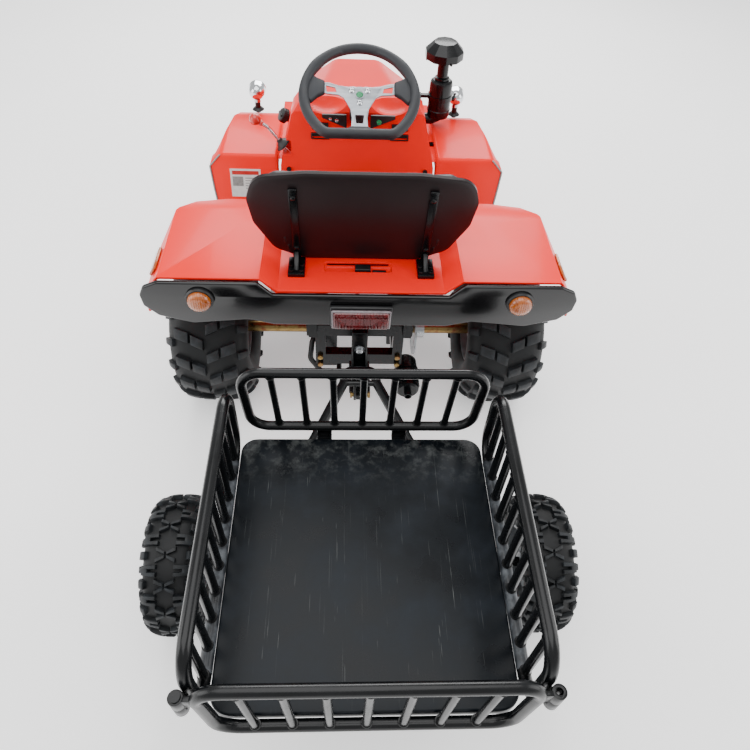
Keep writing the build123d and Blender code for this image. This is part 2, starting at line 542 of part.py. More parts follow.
arm_z = (axle_height - 20, axle_height - 12)
arm_end_y = WHEELBASE - STEER_ARM
for name, side in SIDES:
    pin_x = side * KINGPIN_X
    sleeve = rod((pin_x, WHEELBASE, knuckle_z[0]), (pin_x, WHEELBASE, knuckle_z[1]), 15)
    stub = rod((pin_x, WHEELBASE, axle_height), (side * (FRONT_HALF_TRACK + 46), WHEELBASE, axle_height), STUB_RADIUS)
    arm = block((pin_x - 7, pin_x + 7), (arm_end_y - 8, WHEELBASE - 8), arm_z)
    knuckle = sleeve + stub + arm - rod((pin_x, WHEELBASE, 100), (pin_x, WHEELBASE, 230), KINGPIN_RADIUS + RUN_FIT)
    nut_x = side * (FRONT_HALF_TRACK + 32)
    nut = hexagon((nut_x, WHEELBASE, axle_height), (side, 0, 0), 26, 9)
    nut = nut - rod((pin_x, WHEELBASE, axle_height), (side * 420, WHEELBASE, axle_height), STUB_RADIUS + RUN_FIT)
    save(f"steering_knuckle_{name}", knuckle, nut)

rod_z = arm_z[0] - 1.0 - TIE_ROD_RADIUS
tie_rod = rod((-KINGPIN_X - 8, arm_end_y, rod_z), (KINGPIN_X + 8, arm_end_y, rod_z), TIE_ROD_RADIUS)
drag_stud = rod((0, arm_end_y, rod_z), (0, arm_end_y, rod_z + 44), 6)
save("tie_rod", tie_rod + drag_stud)

# ---- steering -----------------------------------------------------------------------
shaft_top = on_column(6)
shaft_foot = on_column(STEER_SHAFT_LENGTH)
steering_shaft = rod(shaft_foot, shaft_top, STEER_SHAFT_RADIUS)
pitman_plane = Plane(origin=on_column(STEER_SHAFT_LENGTH), x_dir=(1, 0, 0), z_dir=column)
pitman = pitman_plane * block((-9, 9), (-58, 10), (-7, 0))
steering_shaft = steering_shaft + pitman
save("steering_shaft", steering_shaft)

tube_top, tube_foot = on_column(48), on_column(392)
column_tube = pipe(tube_foot, tube_top, COLUMN_TUBE_RADIUS, STEER_SHAFT_RADIUS + RUN_FIT)
column_tube = column_tube + pipe(on_column(80), on_column(68), 24,
                                 STEER_SHAFT_RADIUS + RUN_FIT)
frame_pieces.append(column_tube)

wheel_plane = Plane(origin=STEER_HUB, x_dir=(1, 0, 0), z_dir=column)
flat = 0.80 * WHEEL_RADIUS
grip_line = make_face(Circle(WHEEL_RADIUS).edge()) - Pos(0, -flat - 100) * Rectangle(4 * WHEEL_RADIUS, 200)
grip_line = fillet(grip_line.vertices(), 34).face()
grip_path = grip_line.outer_wire()
grip_start = grip_path @ 0
grip = sweep(Plane(origin=grip_start, z_dir=grip_path % 0) * Circle(WHEEL_GRIP_RADIUS), path=grip_path)
save("steering_rim", wheel_plane * grip)

spoke_reach = WHEEL_RADIUS - WHEEL_GRIP_RADIUS + 1
plate_z = (-WHEEL_PLATE, 0)
plate = Pos(0, 0, -WHEEL_PLATE) * extrude(Circle(44), WHEEL_PLATE)
plate = plate + block((-spoke_reach, spoke_reach), (0, 36), plate_z)
plate = plate + block((-19, 19), (-flat + WHEEL_GRIP_RADIUS - 1, 0), plate_z)
for window in (block((62, 88), (9, 27), (-9, 9)), block((-88, -62), (9, 27), (-9, 9)),
               block((-9, 9), (-84, -66), (-9, 9))):
    plate = plate - window
boss = Pos(0, 0, -42) * extrude(Circle(24), 42 - WHEEL_PLATE)
boss = boss - Pos(0, 0, -50) * extrude(Circle(STEER_SHAFT_RADIUS + RUN_FIT), 44 + RUN_FIT)
hub_screws = [wheel_plane * Pos(place.position.X, place.position.Y, 0) * Cylinder(7, 6, align=(Align.CENTER,
              Align.CENTER, Align.MIN)) for place in PolarLocations(26, 3, start_angle=30)]
spokes = wheel_plane * (plate + boss)
save("steering_spokes", spokes - rod(shaft_foot, shaft_top, STEER_SHAFT_RADIUS + RUN_FIT) - wheel_plane * grip,
     *hub_screws)

# ---- rear bodywork --------------------------------------------------------------------


def moulded(front_outline, side_outline, x, y, wall, openings):
    """A moulded sheet: where two outlines cross, hollowed and opened along each given shift."""
    outer = front_sheet(front_outline, y) & side_sheet(side_outline, x)
    front_face = make_face(Polyline(*[(a, z) for a, z in front_outline], close=True))
    side_face = make_face(Polyline(*[(a, z) for a, z in side_outline], close=True))
    front_inner = offset(front_face, -wall, kind=Kind.INTERSECTION)
    side_inner = offset(side_face, -wall, kind=Kind.INTERSECTION)
    front_inner = Plane(origin=(0, y[0], 0), x_dir=(1, 0, 0), z_dir=(0, -1, 0)) * front_inner
    side_inner = Plane(origin=(x[0], 0, 0), x_dir=(0, 1, 0), z_dir=(1, 0, 0)) * side_inner
    inner = extrude(front_inner, y[1] - y[0], dir=(0, 1, 0)) & extrude(side_inner, x[1] - x[0], dir=(1, 0, 0))
    for shift in openings:
        outer = outer - Pos(*shift) * inner
    return outer - inner


pod_inner, pod_outer = 222.0, 440.0
deck_half = 185.0
fender_low = 408.0
half_front = [(deck_half, DECK_Z), (pod_inner, FENDER_TOP_Z), (pod_outer, FENDER_TOP_Z),
              (FENDER_HALF_WIDTH, FENDER_TOP_Z - 52), (FENDER_HALF_WIDTH, fender_low)]
fender_front = half_front + [(-a, z) for a, z in reversed(half_front)]
fender_side = [(FENDER_REAR_Y, 470), (FENDER_REAR_Y, FENDER_TOP_Z), (70, FENDER_TOP_Z), (150, FENDER_TOP_Z - 28),
               (FENDER_FRONT_Y, fender_low + 14), (FENDER_FRONT_Y - 14, fender_low), (130, 462), (40, 470)]
rear_fender = moulded(fender_front, fender_side, (-500, 500), (-200, 240), SHEET, [(0, 0, -12), (0, 0, -40)])
recess_y = (-118.0, -84.0)
rear_fender = rear_fender - block((-84, 70), recess_y, (DECK_Z - 10, DECK_Z + 10))
save("rear_fender_shell", rear_fender)

valance_y = (FENDER_REAR_Y - FACE_GAP - VALANCE_THICKNESS, FENDER_REAR_Y - FACE_GAP)
half_valance = [(195, DECK_Z - 6), (226, FENDER_TOP_Z - 10), (438, FENDER_TOP_Z - 10), (485, 479), (447, 432),
                (378, 406), (253, 419), (196, 404)]
valance = front_sheet(half_valance + [(-a, z) for a, z in reversed(half_valance)], valance_y)
signal_x, signal_z = 353.0, 483.0
tail_half, tail_z = 70.0, (410.0, 470.0)
lamp_face = valance_y[0] - FACE_GAP
save("rear_valance", valance)
signal_bases = both(rod((signal_x, lamp_face, signal_z), (signal_x, lamp_face - 9, signal_z), 31))
tail_housing = block((-tail_half, tail_half), (lamp_face - 12, lamp_face), tail_z)
lamp_bodies = [*signal_bases, tail_housing]
tail_lens = block((-tail_half + 3, tail_half - 3), (lamp_face - 28, lamp_face - 12), (tail_z[0] + 3, tail_z[1] - 3))
tail_lens = fillet(tail_lens.edges().filter_by(Axis.Y), 9)
save("tail_lamp_lens", tail_lens)
signal_lens = rod((signal_x, lamp_face - 9, signal_z), (signal_x, lamp_face - 24, signal_z), 25)
signal_lens = fillet(signal_lens.edges().group_by(Axis.Y)[0], 9)
skirt_angle = 56.0
reflector = Pos((pod_outer + FENDER_HALF_WIDTH) / 2, -104, FENDER_TOP_Z - 26) * Rot(0, skirt_angle, 0) * (
    block((-14, 14), (-38, 38), (FACE_GAP, 8)))
save("amber_lenses", *both(signal_lens), *both(reflector))

# stays tie the valance back to the rear beam
stay = block((rail_outer - 6, rail_outer + 14), (valance_y[1], rear_tube_y[0]), (REAR_BEAM_Z + 2, REAR_BEAM_Z + 6))
stay = stay + block((rail_outer - 6, rail_outer + 14), (valance_y[1], valance_y[1] + 4), (REAR_BEAM_Z + 2, 440))
frame_pieces += both(stay)

# ---- seat -----------------------------------------------------------------------------
back_plane = Plane(origin=(0, SEAT_BACK_FOOT_Y, DECK_Z + 4), x_dir=(1, 0, 0),
                   z_dir=(0, -cos(radians(SEAT_BACK_TILT)), -sin(radians(SEAT_BACK_TILT))))
back_half = [(140, 0), (200, 34), (242, 150), (240, 196), (196, 246)]
back_points = [(-a, b) for a, b in reversed(back_half)] + back_half
back_face = make_face(Polyline(*back_points, close=True))
back_face = fillet(back_face.vertices(), 26)
back_shell = back_plane * extrude(back_face, SEAT_BACK_SHELL)
back_pad = back_plane * Pos(0, 0, -SEAT_BACK_PAD) * extrude(offset(back_face, -14), SEAT_BACK_PAD - PAD_GAP)
cushion_low = DECK_Z + SEAT_PAN + PAD_GAP
seat_clear = block((-300, 300), (-200, SEAT_FRONT_Y), (DECK_Z, cushion_low + CUSHION_THICKNESS + PAD_GAP))
save("seat_back_shell", back_shell)
save("seat_back_pad", back_pad - seat_clear)
seat_rear_y = -34.0
pan = block((-SEAT_HALF_WIDTH, SEAT_HALF_WIDTH), (seat_rear_y, SEAT_FRONT_Y), (DECK_Z, DECK_Z + SEAT_PAN))
pan = fillet(pan.edges().filter_by(Axis.Z), 30)
save("seat_base_shell", pan)
cushion = block((-SEAT_HALF_WIDTH + 4, SEAT_HALF_WIDTH - 4), (seat_rear_y + 12, SEAT_FRONT_Y - 4),
                (cushion_low, cushion_low + CUSHION_THICKNESS))
cushion = fillet(cushion.edges().filter_by(Axis.Z), 34)
save("seat_cushion", cushion)

bracket_x, bracket_width, bracket_plate = 146.0, 18.0, 6.0
bar_on_back = back_plane * block((bracket_x - bracket_width / 2, bracket_x + bracket_width / 2), (-2, 214),
                                 (SEAT_BACK_SHELL, SEAT_BACK_SHELL + bracket_plate))
foot_block = block((bracket_x - 19, bracket_x + 19), (SEAT_BACK_FOOT_Y - 78, SEAT_BACK_FOOT_Y - 16),
                   (DECK_Z, DECK_Z + 10))
bracket = bar_on_back - block((0, 300), (-200, 0), (DECK_Z - 30, DECK_Z)) + foot_block
save("seat_brackets", *both(bracket))

# ---- console, hood and front fenders ----------------------------------------------------
console_half = [(236, rail_high), (230, 392), (190, CONSOLE_TOP_Z - 26), (170, CONSOLE_TOP_Z)]
console_front = console_half + [(-a, z) for a, z in reversed(console_half)]
console_side = [(CONSOLE_REAR_Y - 6, rail_high), (CONSOLE_REAR_Y + 8, CONSOLE_TOP_Z - 18),
                (CONSOLE_REAR_Y + 24, CONSOLE_TOP_Z), (CONSOLE_FRONT_Y, CONSOLE_TOP_Z - 8), (CONSOLE_FRONT_Y, rail_high)]
console = moulded(console_front, console_side, (-300, 300), (450, 640), SHEET, [(0, 0, -20), (0, 20, 0)])
column_hole = rod(on_column(300), shaft_top, COLUMN_TUBE_RADIUS + FACE_GAP)
console = console - column_hole
lever_slot = block((-260, -150), (LEVER_PIVOT[1] - 28, LEVER_PIVOT[1] + 22), (428, 462))
console = console - lever_slot
filler_foot, filler_head = (-140.0, 640.0, 430.0), (-215.0, 618.0, 480.0)
filler_radius = 12.0
filler_hole = rod(filler_foot, filler_head, filler_radius + FACE_GAP)
console_rear = console - filler_hole
vent_z = (448.0, 478.0)
vents = []
for vent_x in (-117.0, 138.0):
    for slat in range(3):
        slat_z = vent_z[0] + slat * 11
        vents.append(block((vent_x - 26, vent_x + 26), (CONSOLE_REAR_Y - 12, CONSOLE_REAR_Y + 30),
                           (slat_z, slat_z + 6)))
for slat in vents:
    console_rear = console_rear - slat
save("console_shell", console_rear)
louvre_plate = []
for vent_x in (-117.0, 138.0):
    louvre_plate.append(block((vent_x - 32, vent_x + 32), (CONSOLE_REAR_Y + 10, CONSOLE_REAR_Y + 14),
                              (vent_z[0] - 6, vent_z[1] + 6)))
dash = front_sheet([(44, 520), (96, 548), (96, 562), (40, 562)], (CONSOLE_REAR_Y - 6, CONSOLE_REAR_Y + 1))
screws = [hexagon((screw_x, CONSOLE_REAR_Y - 1, 380), (0, -1, 0), 12, 5) for screw_x in (-206, 206)]
save("dash_panel", *louvre_plate, *both(dash - console_rear), *[screw - console_rear for screw in screws])

hood_start = CONSOLE_FRONT_Y + FACE_GAP
hood_rear = [(198, 300), (198, 496), (112, 562), (-112, 562), (-198, 496), (-198, 300)]
hood_front = [(167, 300), (167, 448), (70, 515), (-70, 515), (-167, 448), (-167, 300)]


def hood_half_width(y):
    """Half the bonnet's width at this distance along it, below its shoulders."""
    share = (y - hood_start) / (HOOD_FRONT_Y - hood_start)
    return hood_rear[0][0] + share * (hood_front[0][0] - hood_rear[0][0])


def hood_solid(rear_y, front_y, inset, drop):
    """The bonnet's tapering body between two sections, each drawn in by an inset."""
    sections = []
    for y, outline in ((rear_y, hood_rear), (front_y, hood_front)):
        points = [(a - inset * (1 if a > 0 else -1), z - (inset if z > 400 else drop)) for a, z in outline]
        sections.append(make_face(Polyline(*[(a, y, z) for a, z in points], close=True)))
    return loft(sections, ruled=True)


hood = hood_solid(hood_start, HOOD_FRONT_Y, 0, 0)
hood = hood - hood_solid(hood_start, HOOD_FRONT_Y, SHEET, 12)
hood = hood - hood_solid(hood_start - 8, HOOD_FRONT_Y - SHEET, SHEET, 12)
save("hood_shell", hood - filler_hole)
grille_outline = [(150, 306), (150, 440), (64, 500), (-64, 500), (-150, 440), (-150, 306)]
grille = front_sheet(grille_outline, (HOOD_FRONT_Y + FACE_GAP, HOOD_FRONT_Y + 8))
for slot in range(6):
    slot_z = 318 + slot * 22
    grille = grille - block((-128, 128), (HOOD_FRONT_Y - 5, HOOD_FRONT_Y + 20), (slot_z, slot_z + 11))
save("front_grille", grille)

tank = block((-110, 110), (640, 800), (360, 440))
tank = fillet(tank.edges(), 14)
tank = tank + rod(filler_foot, filler_head, filler_radius)
save("fuel_tank", tank)
filler_axis = (Vector(*filler_head) - Vector(*filler_foot)).normalized()
cap_foot = Vector(*filler_head) + filler_axis * FACE_GAP
filler_cap = rod(cap_foot, (cap_foot + filler_axis * 24), 21)
save("fuel_cap", filler_cap)

fender_top_points = [(468, 236), (500, FRONT_FENDER_TOP), (740, FRONT_FENDER_TOP), (806, FRONT_FENDER_TOP - 24),
                     (878, 322), (862, 306), (792, 362), (738, 378), (540, 372), (494, 236)]
fender_cross = [(FRONT_FENDER_INNER, 230), (FRONT_FENDER_INNER, FRONT_FENDER_TOP),
                (FRONT_FENDER_OUTER - 34, FRONT_FENDER_TOP), (FRONT_FENDER_OUTER, FRONT_FENDER_TOP - 30),
                (FRONT_FENDER_OUTER - 18, 230)]
front_fender = moulded(fender_cross, fender_top_points, (200, 480), (440, 900), SHEET,
                       [(0, 10, -14), (0, 6, -6), (0, 20, -30)])
lamp_x, lamp_y = 320.0, 795.0
stay_y = (CONSOLE_FRONT_Y + 8, CONSOLE_FRONT_Y + 24)
stay_x = FRONT_FENDER_INNER - 20
fender_stay = block((rail_outer, stay_x), stay_y, (RAIL_Z, RAIL_Z + 6))
stay_leg = block((stay_x - 6, stay_x), stay_y, (RAIL_Z, FRONT_FENDER_TOP - 14))
stay_post = block((stay_x, FRONT_FENDER_INNER), stay_y, (FRONT_FENDER_TOP - 20, FRONT_FENDER_TOP - 14))
for name, side in SIDES:
    save(f"front_fender_{name}", *with_side([front_fender], side))
frame_pieces += both(fender_stay + stay_leg + stay_post)

stem_top = FRONT_FENDER_TOP + 30
stem = rod((lamp_x, lamp_y - 14, FRONT_FENDER_TOP - 30), (lamp_x, lamp_y - 14, stem_top), 10)
stems = both(stem - side_sheet(fender_top_points, (200, 480)))
save("lamp_bodies", *lamp_bodies, *stems)
head = rod((lamp_x, lamp_y - 34, stem_top + 25), (lamp_x, lamp_y + 12, stem_top + 25), 25)
head = fillet(head.edges().group_by(Axis.Y)[0], 20)
head = head + rod((lamp_x, lamp_y - 14, stem_top), (lamp_x, lamp_y - 14, stem_top + 10), 12)
save("headlamp_heads", *both(head))

# ---- stack, bumper, lever ---------------------------------------------------------------
stack_x, stack_y = 257.0, 715.0
canister_z, neck_top, cap_rim, cap_crown = (449.0, 563.0), 612.0, 646.0, 683.0
hood_side_x = hood_half_width(stack_y - 20) + FACE_GAP
elbow = bent_tube([(stack_x, stack_y, canister_z[0] + 50), (stack_x, stack_y, canister_z[0] + 30),
                   (hood_side_x, stack_y, canister_z[0] - 12)], 16, 19)
canister = rod((stack_x, stack_y, canister_z[0]), (stack_x, stack_y, canister_z[1]), 35)
canister = fillet(canister.edges().group_by(Axis.Z)[-1], 5)
neck = rod((stack_x, stack_y, canister_z[1]), (stack_x, stack_y, neck_top), 17)
cap_side = rod((stack_x, stack_y, neck_top), (stack_x, stack_y, cap_rim), 56)
cap_top = loft([Plane(origin=(stack_x, stack_y, cap_rim)) * RegularPolygon(56, 8),
                Plane(origin=(stack_x, stack_y, cap_crown)) * RegularPolygon(26, 8)], ruled=True)
save("stack_body", canister + elbow - block((100, hood_side_x), (600, 820), (380, 520)), neck, cap_side + cap_top)

bumper_z, bumper_bend = 390.0, 40.0
bumper = bent_tube([(-RAIL_X, RAIL_FRONT_Y, RAIL_Z), (-RAIL_X, BUMPER_Y, RAIL_Z), (-RAIL_X, BUMPER_Y, bumper_z),
                    (RAIL_X, BUMPER_Y, bumper_z), (RAIL_X, BUMPER_Y, RAIL_Z), (RAIL_X, RAIL_FRONT_Y, RAIL_Z)],
                   bumper_bend, BUMPER_TUBE)
save("front_bumper", bumper)

knob_centre = (-296.0, 512.0, 525.0)
lever = bent_tube([LEVER_PIVOT, (-222, 520, 446), (-262, 516, 500), knob_centre], 22, LEVER_RADIUS)
lever_foot = rod((LEVER_PIVOT[0] - 14, LEVER_PIVOT[1], LEVER_PIVOT[2]),
                 (LEVER_PIVOT[0] + 14, LEVER_PIVOT[1], LEVER_PIVOT[2]), 12)
lever_pin = rod((LEVER_PIVOT[0] - 30, LEVER_PIVOT[1], LEVER_PIVOT[2]),
                (LEVER_PIVOT[0] + 30, LEVER_PIVOT[1], LEVER_PIVOT[2]), 6 + RUN_FIT)
save("shift_lever", lever + lever_foot - lever_pin)
save("shift_knob", Pos(*knob_centre) * Sphere(KNOB_RADIUS) - lever)
gate_pin = rod((LEVER_PIVOT[0] - 22, LEVER_PIVOT[1], LEVER_PIVOT[2]),
               (LEVER_PIVOT[0] + 22, LEVER_PIVOT[1], LEVER_PIVOT[2]), 6)
gate_ear = block((LEVER_PIVOT[0] + 15, LEVER_PIVOT[0] + 21), (508, 532), (rail_high, LEVER_PIVOT[2] + 12))
gate_base = block((LEVER_PIVOT[0] + 15, -rail_inner), (508, 532), (rail_high, rail_high + 6))
save("chassis_frame", *frame_pieces, gate_ear + gate_base + gate_pin)
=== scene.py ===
# %% [markdown]
# A small farm tractor pulls a box trailer. Its fixed frame is loaded first, and every new piece is
# then built round that frame, in metres, with +Y forward, +X to the driver's right and +Z up.

# %% Load the frame
import math

import bmesh
import bpy
import numpy as np
from mathutils import Matrix, Quaternion, Vector


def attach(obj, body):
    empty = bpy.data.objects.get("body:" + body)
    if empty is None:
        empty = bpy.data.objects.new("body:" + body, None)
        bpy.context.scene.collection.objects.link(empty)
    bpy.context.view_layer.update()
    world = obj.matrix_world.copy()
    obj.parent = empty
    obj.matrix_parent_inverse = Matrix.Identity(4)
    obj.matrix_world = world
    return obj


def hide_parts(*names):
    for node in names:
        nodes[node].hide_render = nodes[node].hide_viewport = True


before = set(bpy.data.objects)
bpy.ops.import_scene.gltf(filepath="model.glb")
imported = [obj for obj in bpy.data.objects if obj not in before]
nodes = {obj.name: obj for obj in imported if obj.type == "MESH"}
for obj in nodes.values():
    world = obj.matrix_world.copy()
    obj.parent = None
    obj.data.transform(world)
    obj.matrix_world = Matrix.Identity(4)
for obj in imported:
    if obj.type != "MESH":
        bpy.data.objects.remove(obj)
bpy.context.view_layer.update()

MM = 0.001
print("frame nodes", len(nodes))

# %% [markdown]
# An operator works on whatever is selected, so each step starts by selecting only its own pieces.
# A finished piece keeps its place in its mesh, and its object stays at the origin.


# %% Selecting and settling
def only(*pieces):
    """Selects these pieces and nothing else, in object mode."""
    if bpy.context.object and bpy.context.object.mode != "OBJECT":
        bpy.ops.object.mode_set(mode="OBJECT")
    bpy.ops.object.select_all(action="DESELECT")
    for piece in pieces:
        piece.select_set(True)
    if pieces:
        bpy.context.view_layer.objects.active = pieces[-1]


def settle(piece):
    """Puts the piece's place, turn and size into its mesh."""
    only(piece)
    bpy.ops.object.transform_apply(location=True, rotation=True, scale=True)
    return piece


def apply(piece, kind, **settings):
    """Adds a modifier with its settings and applies it."""
    only(piece)
    modifier = piece.modifiers.new(kind.title(), kind)
    for name, value in settings.items():
        setattr(modifier, name, value)
    bpy.ops.object.modifier_apply(modifier=modifier.name)
    return piece


def join(*pieces):
    """Makes several meshes one piece."""
    only(*pieces)
    bpy.ops.object.join()
    return bpy.context.object


def fix_normals(piece, merge=0.00001):
    """Merges doubles and turns every face outwards."""
    only(piece)
    bpy.ops.object.mode_set(mode="EDIT")
    bpy.ops.mesh.select_all(action="SELECT")
    bpy.ops.mesh.remove_doubles(threshold=merge)
    bpy.ops.mesh.normals_make_consistent(inside=False)
    bpy.ops.object.mode_set(mode="OBJECT")
    return piece


# %% [markdown]
# Most steel and plastic pieces start as a block, a round bar, a flat outline pushed to a thickness,
# a section spun about the wheel's axis, or a tube bent along a line.


# %% Blocks, bars and outlines
def block(x, y, z):
    """A box between two coordinates on each axis, in millimetres."""
    only()
    low, high = np.array([x[0], y[0], z[0]]) * MM, np.array([x[1], y[1], z[1]]) * MM
    bpy.ops.mesh.primitive_cube_add(size=1, location=(low + high) / 2)
    bpy.context.object.scale = high - low
    return settle(bpy.context.object)


def bar(start, end, radius, sides=28, far=None):
    """A round bar between two points in millimetres, tapered when far gives the end's radius."""
    only()
    start, end = Vector(start) * MM, Vector(end) * MM
    run = end - start
    bpy.ops.mesh.primitive_cone_add(vertices=sides, radius1=radius * MM, depth=run.length,
                                    radius2=(radius if far is None else far) * MM,
                                    location=(start + end) / 2, rotation=run.to_track_quat("Z", "Y").to_euler())
    return settle(bpy.context.object)


def prism(points, axis, span):
    """A flat outline in millimetres pushed along X, Y or Z from span[0] to span[1]."""
    only()
    bpy.ops.mesh.primitive_circle_add(vertices=len(points), radius=1, fill_type="NGON")
    piece = bpy.context.object
    order = {"X": lambda a, b: (span[0], a, b), "Y": lambda a, b: (a, span[0], b), "Z": lambda a, b: (a, b, span[0])}
    for vertex, (a, b) in zip(piece.data.vertices, points):
        vertex.co = Vector(order[axis](a, b)) * MM
    push = Vector([(span[1] - span[0]) * MM * (name == axis) for name in "XYZ"])
    bpy.ops.object.mode_set(mode="EDIT")
    bpy.ops.mesh.select_all(action="SELECT")
    bpy.ops.mesh.extrude_region_move(TRANSFORM_OT_translate={"value": push})
    bpy.ops.mesh.select_all(action="SELECT")
    bpy.ops.mesh.normals_make_consistent(inside=False)
    bpy.ops.object.mode_set(mode="OBJECT")
    return piece


def combine(piece, tool, how="DIFFERENCE"):
    """Cuts the piece with a tool, joins it to the tool or keeps where they cross."""
    apply(piece, "BOOLEAN", object=tool, operation=how, solver="EXACT")
    bpy.data.objects.remove(tool)
    return piece


def drop_faces(piece, test):
    """Deletes the faces whose centre, in millimetres, and normal pass a test."""
    only(piece)
    chosen = [polygon.index for polygon in piece.data.polygons if test(polygon.center / MM, polygon.normal)]
    for part in (piece.data.vertices, piece.data.edges, piece.data.polygons):
        part.foreach_set("select", [False] * len(part))
    for index in chosen:
        piece.data.polygons[index].select = True
    bpy.ops.object.mode_set(mode="EDIT")
    bpy.ops.mesh.select_mode(type="FACE")
    bpy.ops.mesh.delete(type="FACE")
    bpy.ops.mesh.select_mode(type="VERT")
    bpy.ops.object.mode_set(mode="OBJECT")
    return piece


def round_edges(piece, width, segments=3, angle=30):
    return apply(piece, "BEVEL", width=width * MM, segments=segments, limit_method="ANGLE",
                 angle_limit=math.radians(angle), use_clamp_overlap=True)


def thicken(piece, wall):
    return apply(piece, "SOLIDIFY", thickness=wall * MM, offset=-1.0, use_even_offset=True)


def lathe(section, centre, steps=72, axis=(1, 0, 0)):
    """A closed section of (offset along the axis, radius) points spun about an axis through a centre."""
    mesh = bpy.data.meshes.new("section")
    outward = Vector((1, 0, 0)) if axis[2] else Vector((0, 0, 1))
    points = [(Vector(centre) + Vector(axis) * a + outward * radius) * MM for a, radius in section]
    mesh.from_pydata(points, [(i, (i + 1) % len(points)) for i in range(len(points))], [])
    piece = bpy.data.objects.new("section", mesh)
    bpy.context.scene.collection.objects.link(piece)
    only(piece)
    bpy.ops.object.mode_set(mode="EDIT")
    bpy.ops.mesh.select_all(action="SELECT")
    bpy.ops.mesh.spin(steps=steps, angle=2 * math.pi, center=Vector(centre) * MM, axis=axis)
    bpy.ops.object.mode_set(mode="OBJECT")
    return fix_normals(piece)


def rounded(points, bend, steps=8, closed=False):
    """The points of a line with every corner turned into an arc."""
    points, line = [Vector(point) for point in points], []
    count = len(points)
    for i, corner in enumerate(points):
        if not closed and i in (0, count - 1):
            line.append(corner)
            continue
        back, ahead = (points[i - 1] - corner).normalized(), (points[(i + 1) % count] - corner).normalized()
        half = back.angle(ahead) / 2
        if half > math.radians(89):
            line.append(corner)
            continue
        reach = bend / math.tan(half)
        centre = corner + (back + ahead).normalized() * (bend / math.sin(half))
        first = (corner + back * reach - centre).normalized()
        last = (corner + ahead * reach - centre).normalized()
        for step in range(steps + 1):
            line.append(centre + first.slerp(last, step / steps) * bend)
    return line


def tube(points, radius, bend=0.0, closed=False, sides=5, scales=None, steps=8):
    """A round tube along a bent line, in millimetres, closed at its ends."""
    line = rounded(points, bend, steps, closed) if bend else [Vector(point) for point in points]
    curve = bpy.data.curves.new("tube", "CURVE")
    curve.dimensions = "3D"
    curve.bevel_depth, curve.bevel_resolution, curve.use_fill_caps = radius * MM, sides, True
    spline = curve.splines.new("POLY")
    spline.points.add(len(line) - 1)
    for i, point in enumerate(line):
        spline.points[i].co = (*(point * MM), 1)
        spline.points[i].radius = scales[i] if scales else 1.0
    spline.use_cyclic_u = closed
    piece = bpy.data.objects.new("tube", curve)
    bpy.context.scene.collection.objects.link(piece)
    only(piece)
    bpy.ops.object.convert(target="MESH")
    return fix_normals(bpy.context.object)


def hexagon(centre, axis, across, height):
    """A bolt head or nut with its corners eased."""
    run = Vector(axis).normalized() * height
    return round_edges(bar(centre, Vector(centre) + run, across / 2 / math.cos(math.pi / 6), 6), 0.8, 2)


def twin(piece):
    """The piece's mirror image on the other side, with its own mesh."""
    only(piece)
    bpy.ops.object.duplicate()
    other = bpy.context.object
    other.data.transform(Matrix.Scale(-1, 4, (1, 0, 0)))
    other.data.flip_normals()
    return other


def place(piece, name, material, body, replaced=(), angle=35):
    """Names and paints a finished piece, and fixes it to the body it moves with."""
    piece.name = piece.data.name = name
    piece.data.materials.clear()
    piece.data.materials.append(material)
    only(piece)
    bpy.ops.object.shade_smooth_by_angle(angle=math.radians(angle))
    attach(piece, body)
    if replaced:
        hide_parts(*replaced)
    print(name, len(piece.data.polygons), "faces")
    return piece


# %% [markdown]
# The camera stands behind the trailer at head height and looks down over it, and a large pale floor
# and three soft boxes give the even light of a studio.

# %% Camera
PITCH, YAW, ROLL = 0.85395, 0.07134, 0.061226
ahead = Vector((math.sin(YAW) * math.cos(PITCH), math.cos(YAW) * math.cos(PITCH), -math.sin(PITCH)))
across = Vector((math.cos(YAW), -math.sin(YAW), 0))
upward = across.cross(ahead)
camera_x = across * math.cos(ROLL) + upward * math.sin(ROLL)
camera_y = -across * math.sin(ROLL) + upward * math.cos(ROLL)
only()
bpy.ops.object.camera_add()
camera = bpy.context.object
camera.matrix_world = Matrix.Translation((-0.0422, -1.2557, 1.4472)) @ Matrix(
    (camera_x, camera_y, -ahead)).transposed().to_4x4()
camera.data.sensor_width, camera.data.lens, camera.data.shift_x = 36.0, 30.92, 0.0039
bpy.context.scene.camera = camera


# %% [markdown]
# Four soft boxes and a pale sky light the object evenly, so that its dark parts keep their shape. Each
# box is an area lamp turned to look at a point on the object, which keeps them all easy to move.

# %% Studio
def soft_box(name, place_at, aim, size, power, shape_y=None):
    only()
    bpy.ops.object.light_add(type="AREA", location=place_at)
    light = bpy.context.object
    light.name = name
    light.rotation_euler = (Vector(aim) - Vector(place_at)).to_track_quat("-Z", "Y").to_euler()
    light.data.shape, light.data.size, light.data.size_y = "RECTANGLE", size, shape_y or size
    light.data.energy = power


soft_box("front_box", (0.2, 3.2, 2.6), (0, 0.4, 0.4), 3.2, 150, 1.6)
soft_box("top_box", (-0.3, -0.6, 3.6), (0, -0.2, 0.3), 3.4, 95)
soft_box("left_box", (-3.2, -0.8, 1.5), (0, 0, 0.4), 2.2, 50)
soft_box("right_box", (3.2, -0.6, 1.6), (0, 0, 0.4), 2.2, 46)
world = bpy.data.worlds.new("studio")
bpy.context.scene.world = world
world.use_nodes = True
world.node_tree.nodes["Background"].inputs["Color"].default_value = (1, 1, 1, 1)
world.node_tree.nodes["Background"].inputs["Strength"].default_value = 0.8

# %% [markdown]
# Colours are written as the hex values a paint chart gives, and one function makes them linear.
# Each finish starts from the real material: gloss bodywork is ABS with a fine orange peel, the
# frames are powder coat over steel tube, the tyres are carbon-black rubber, and so on.


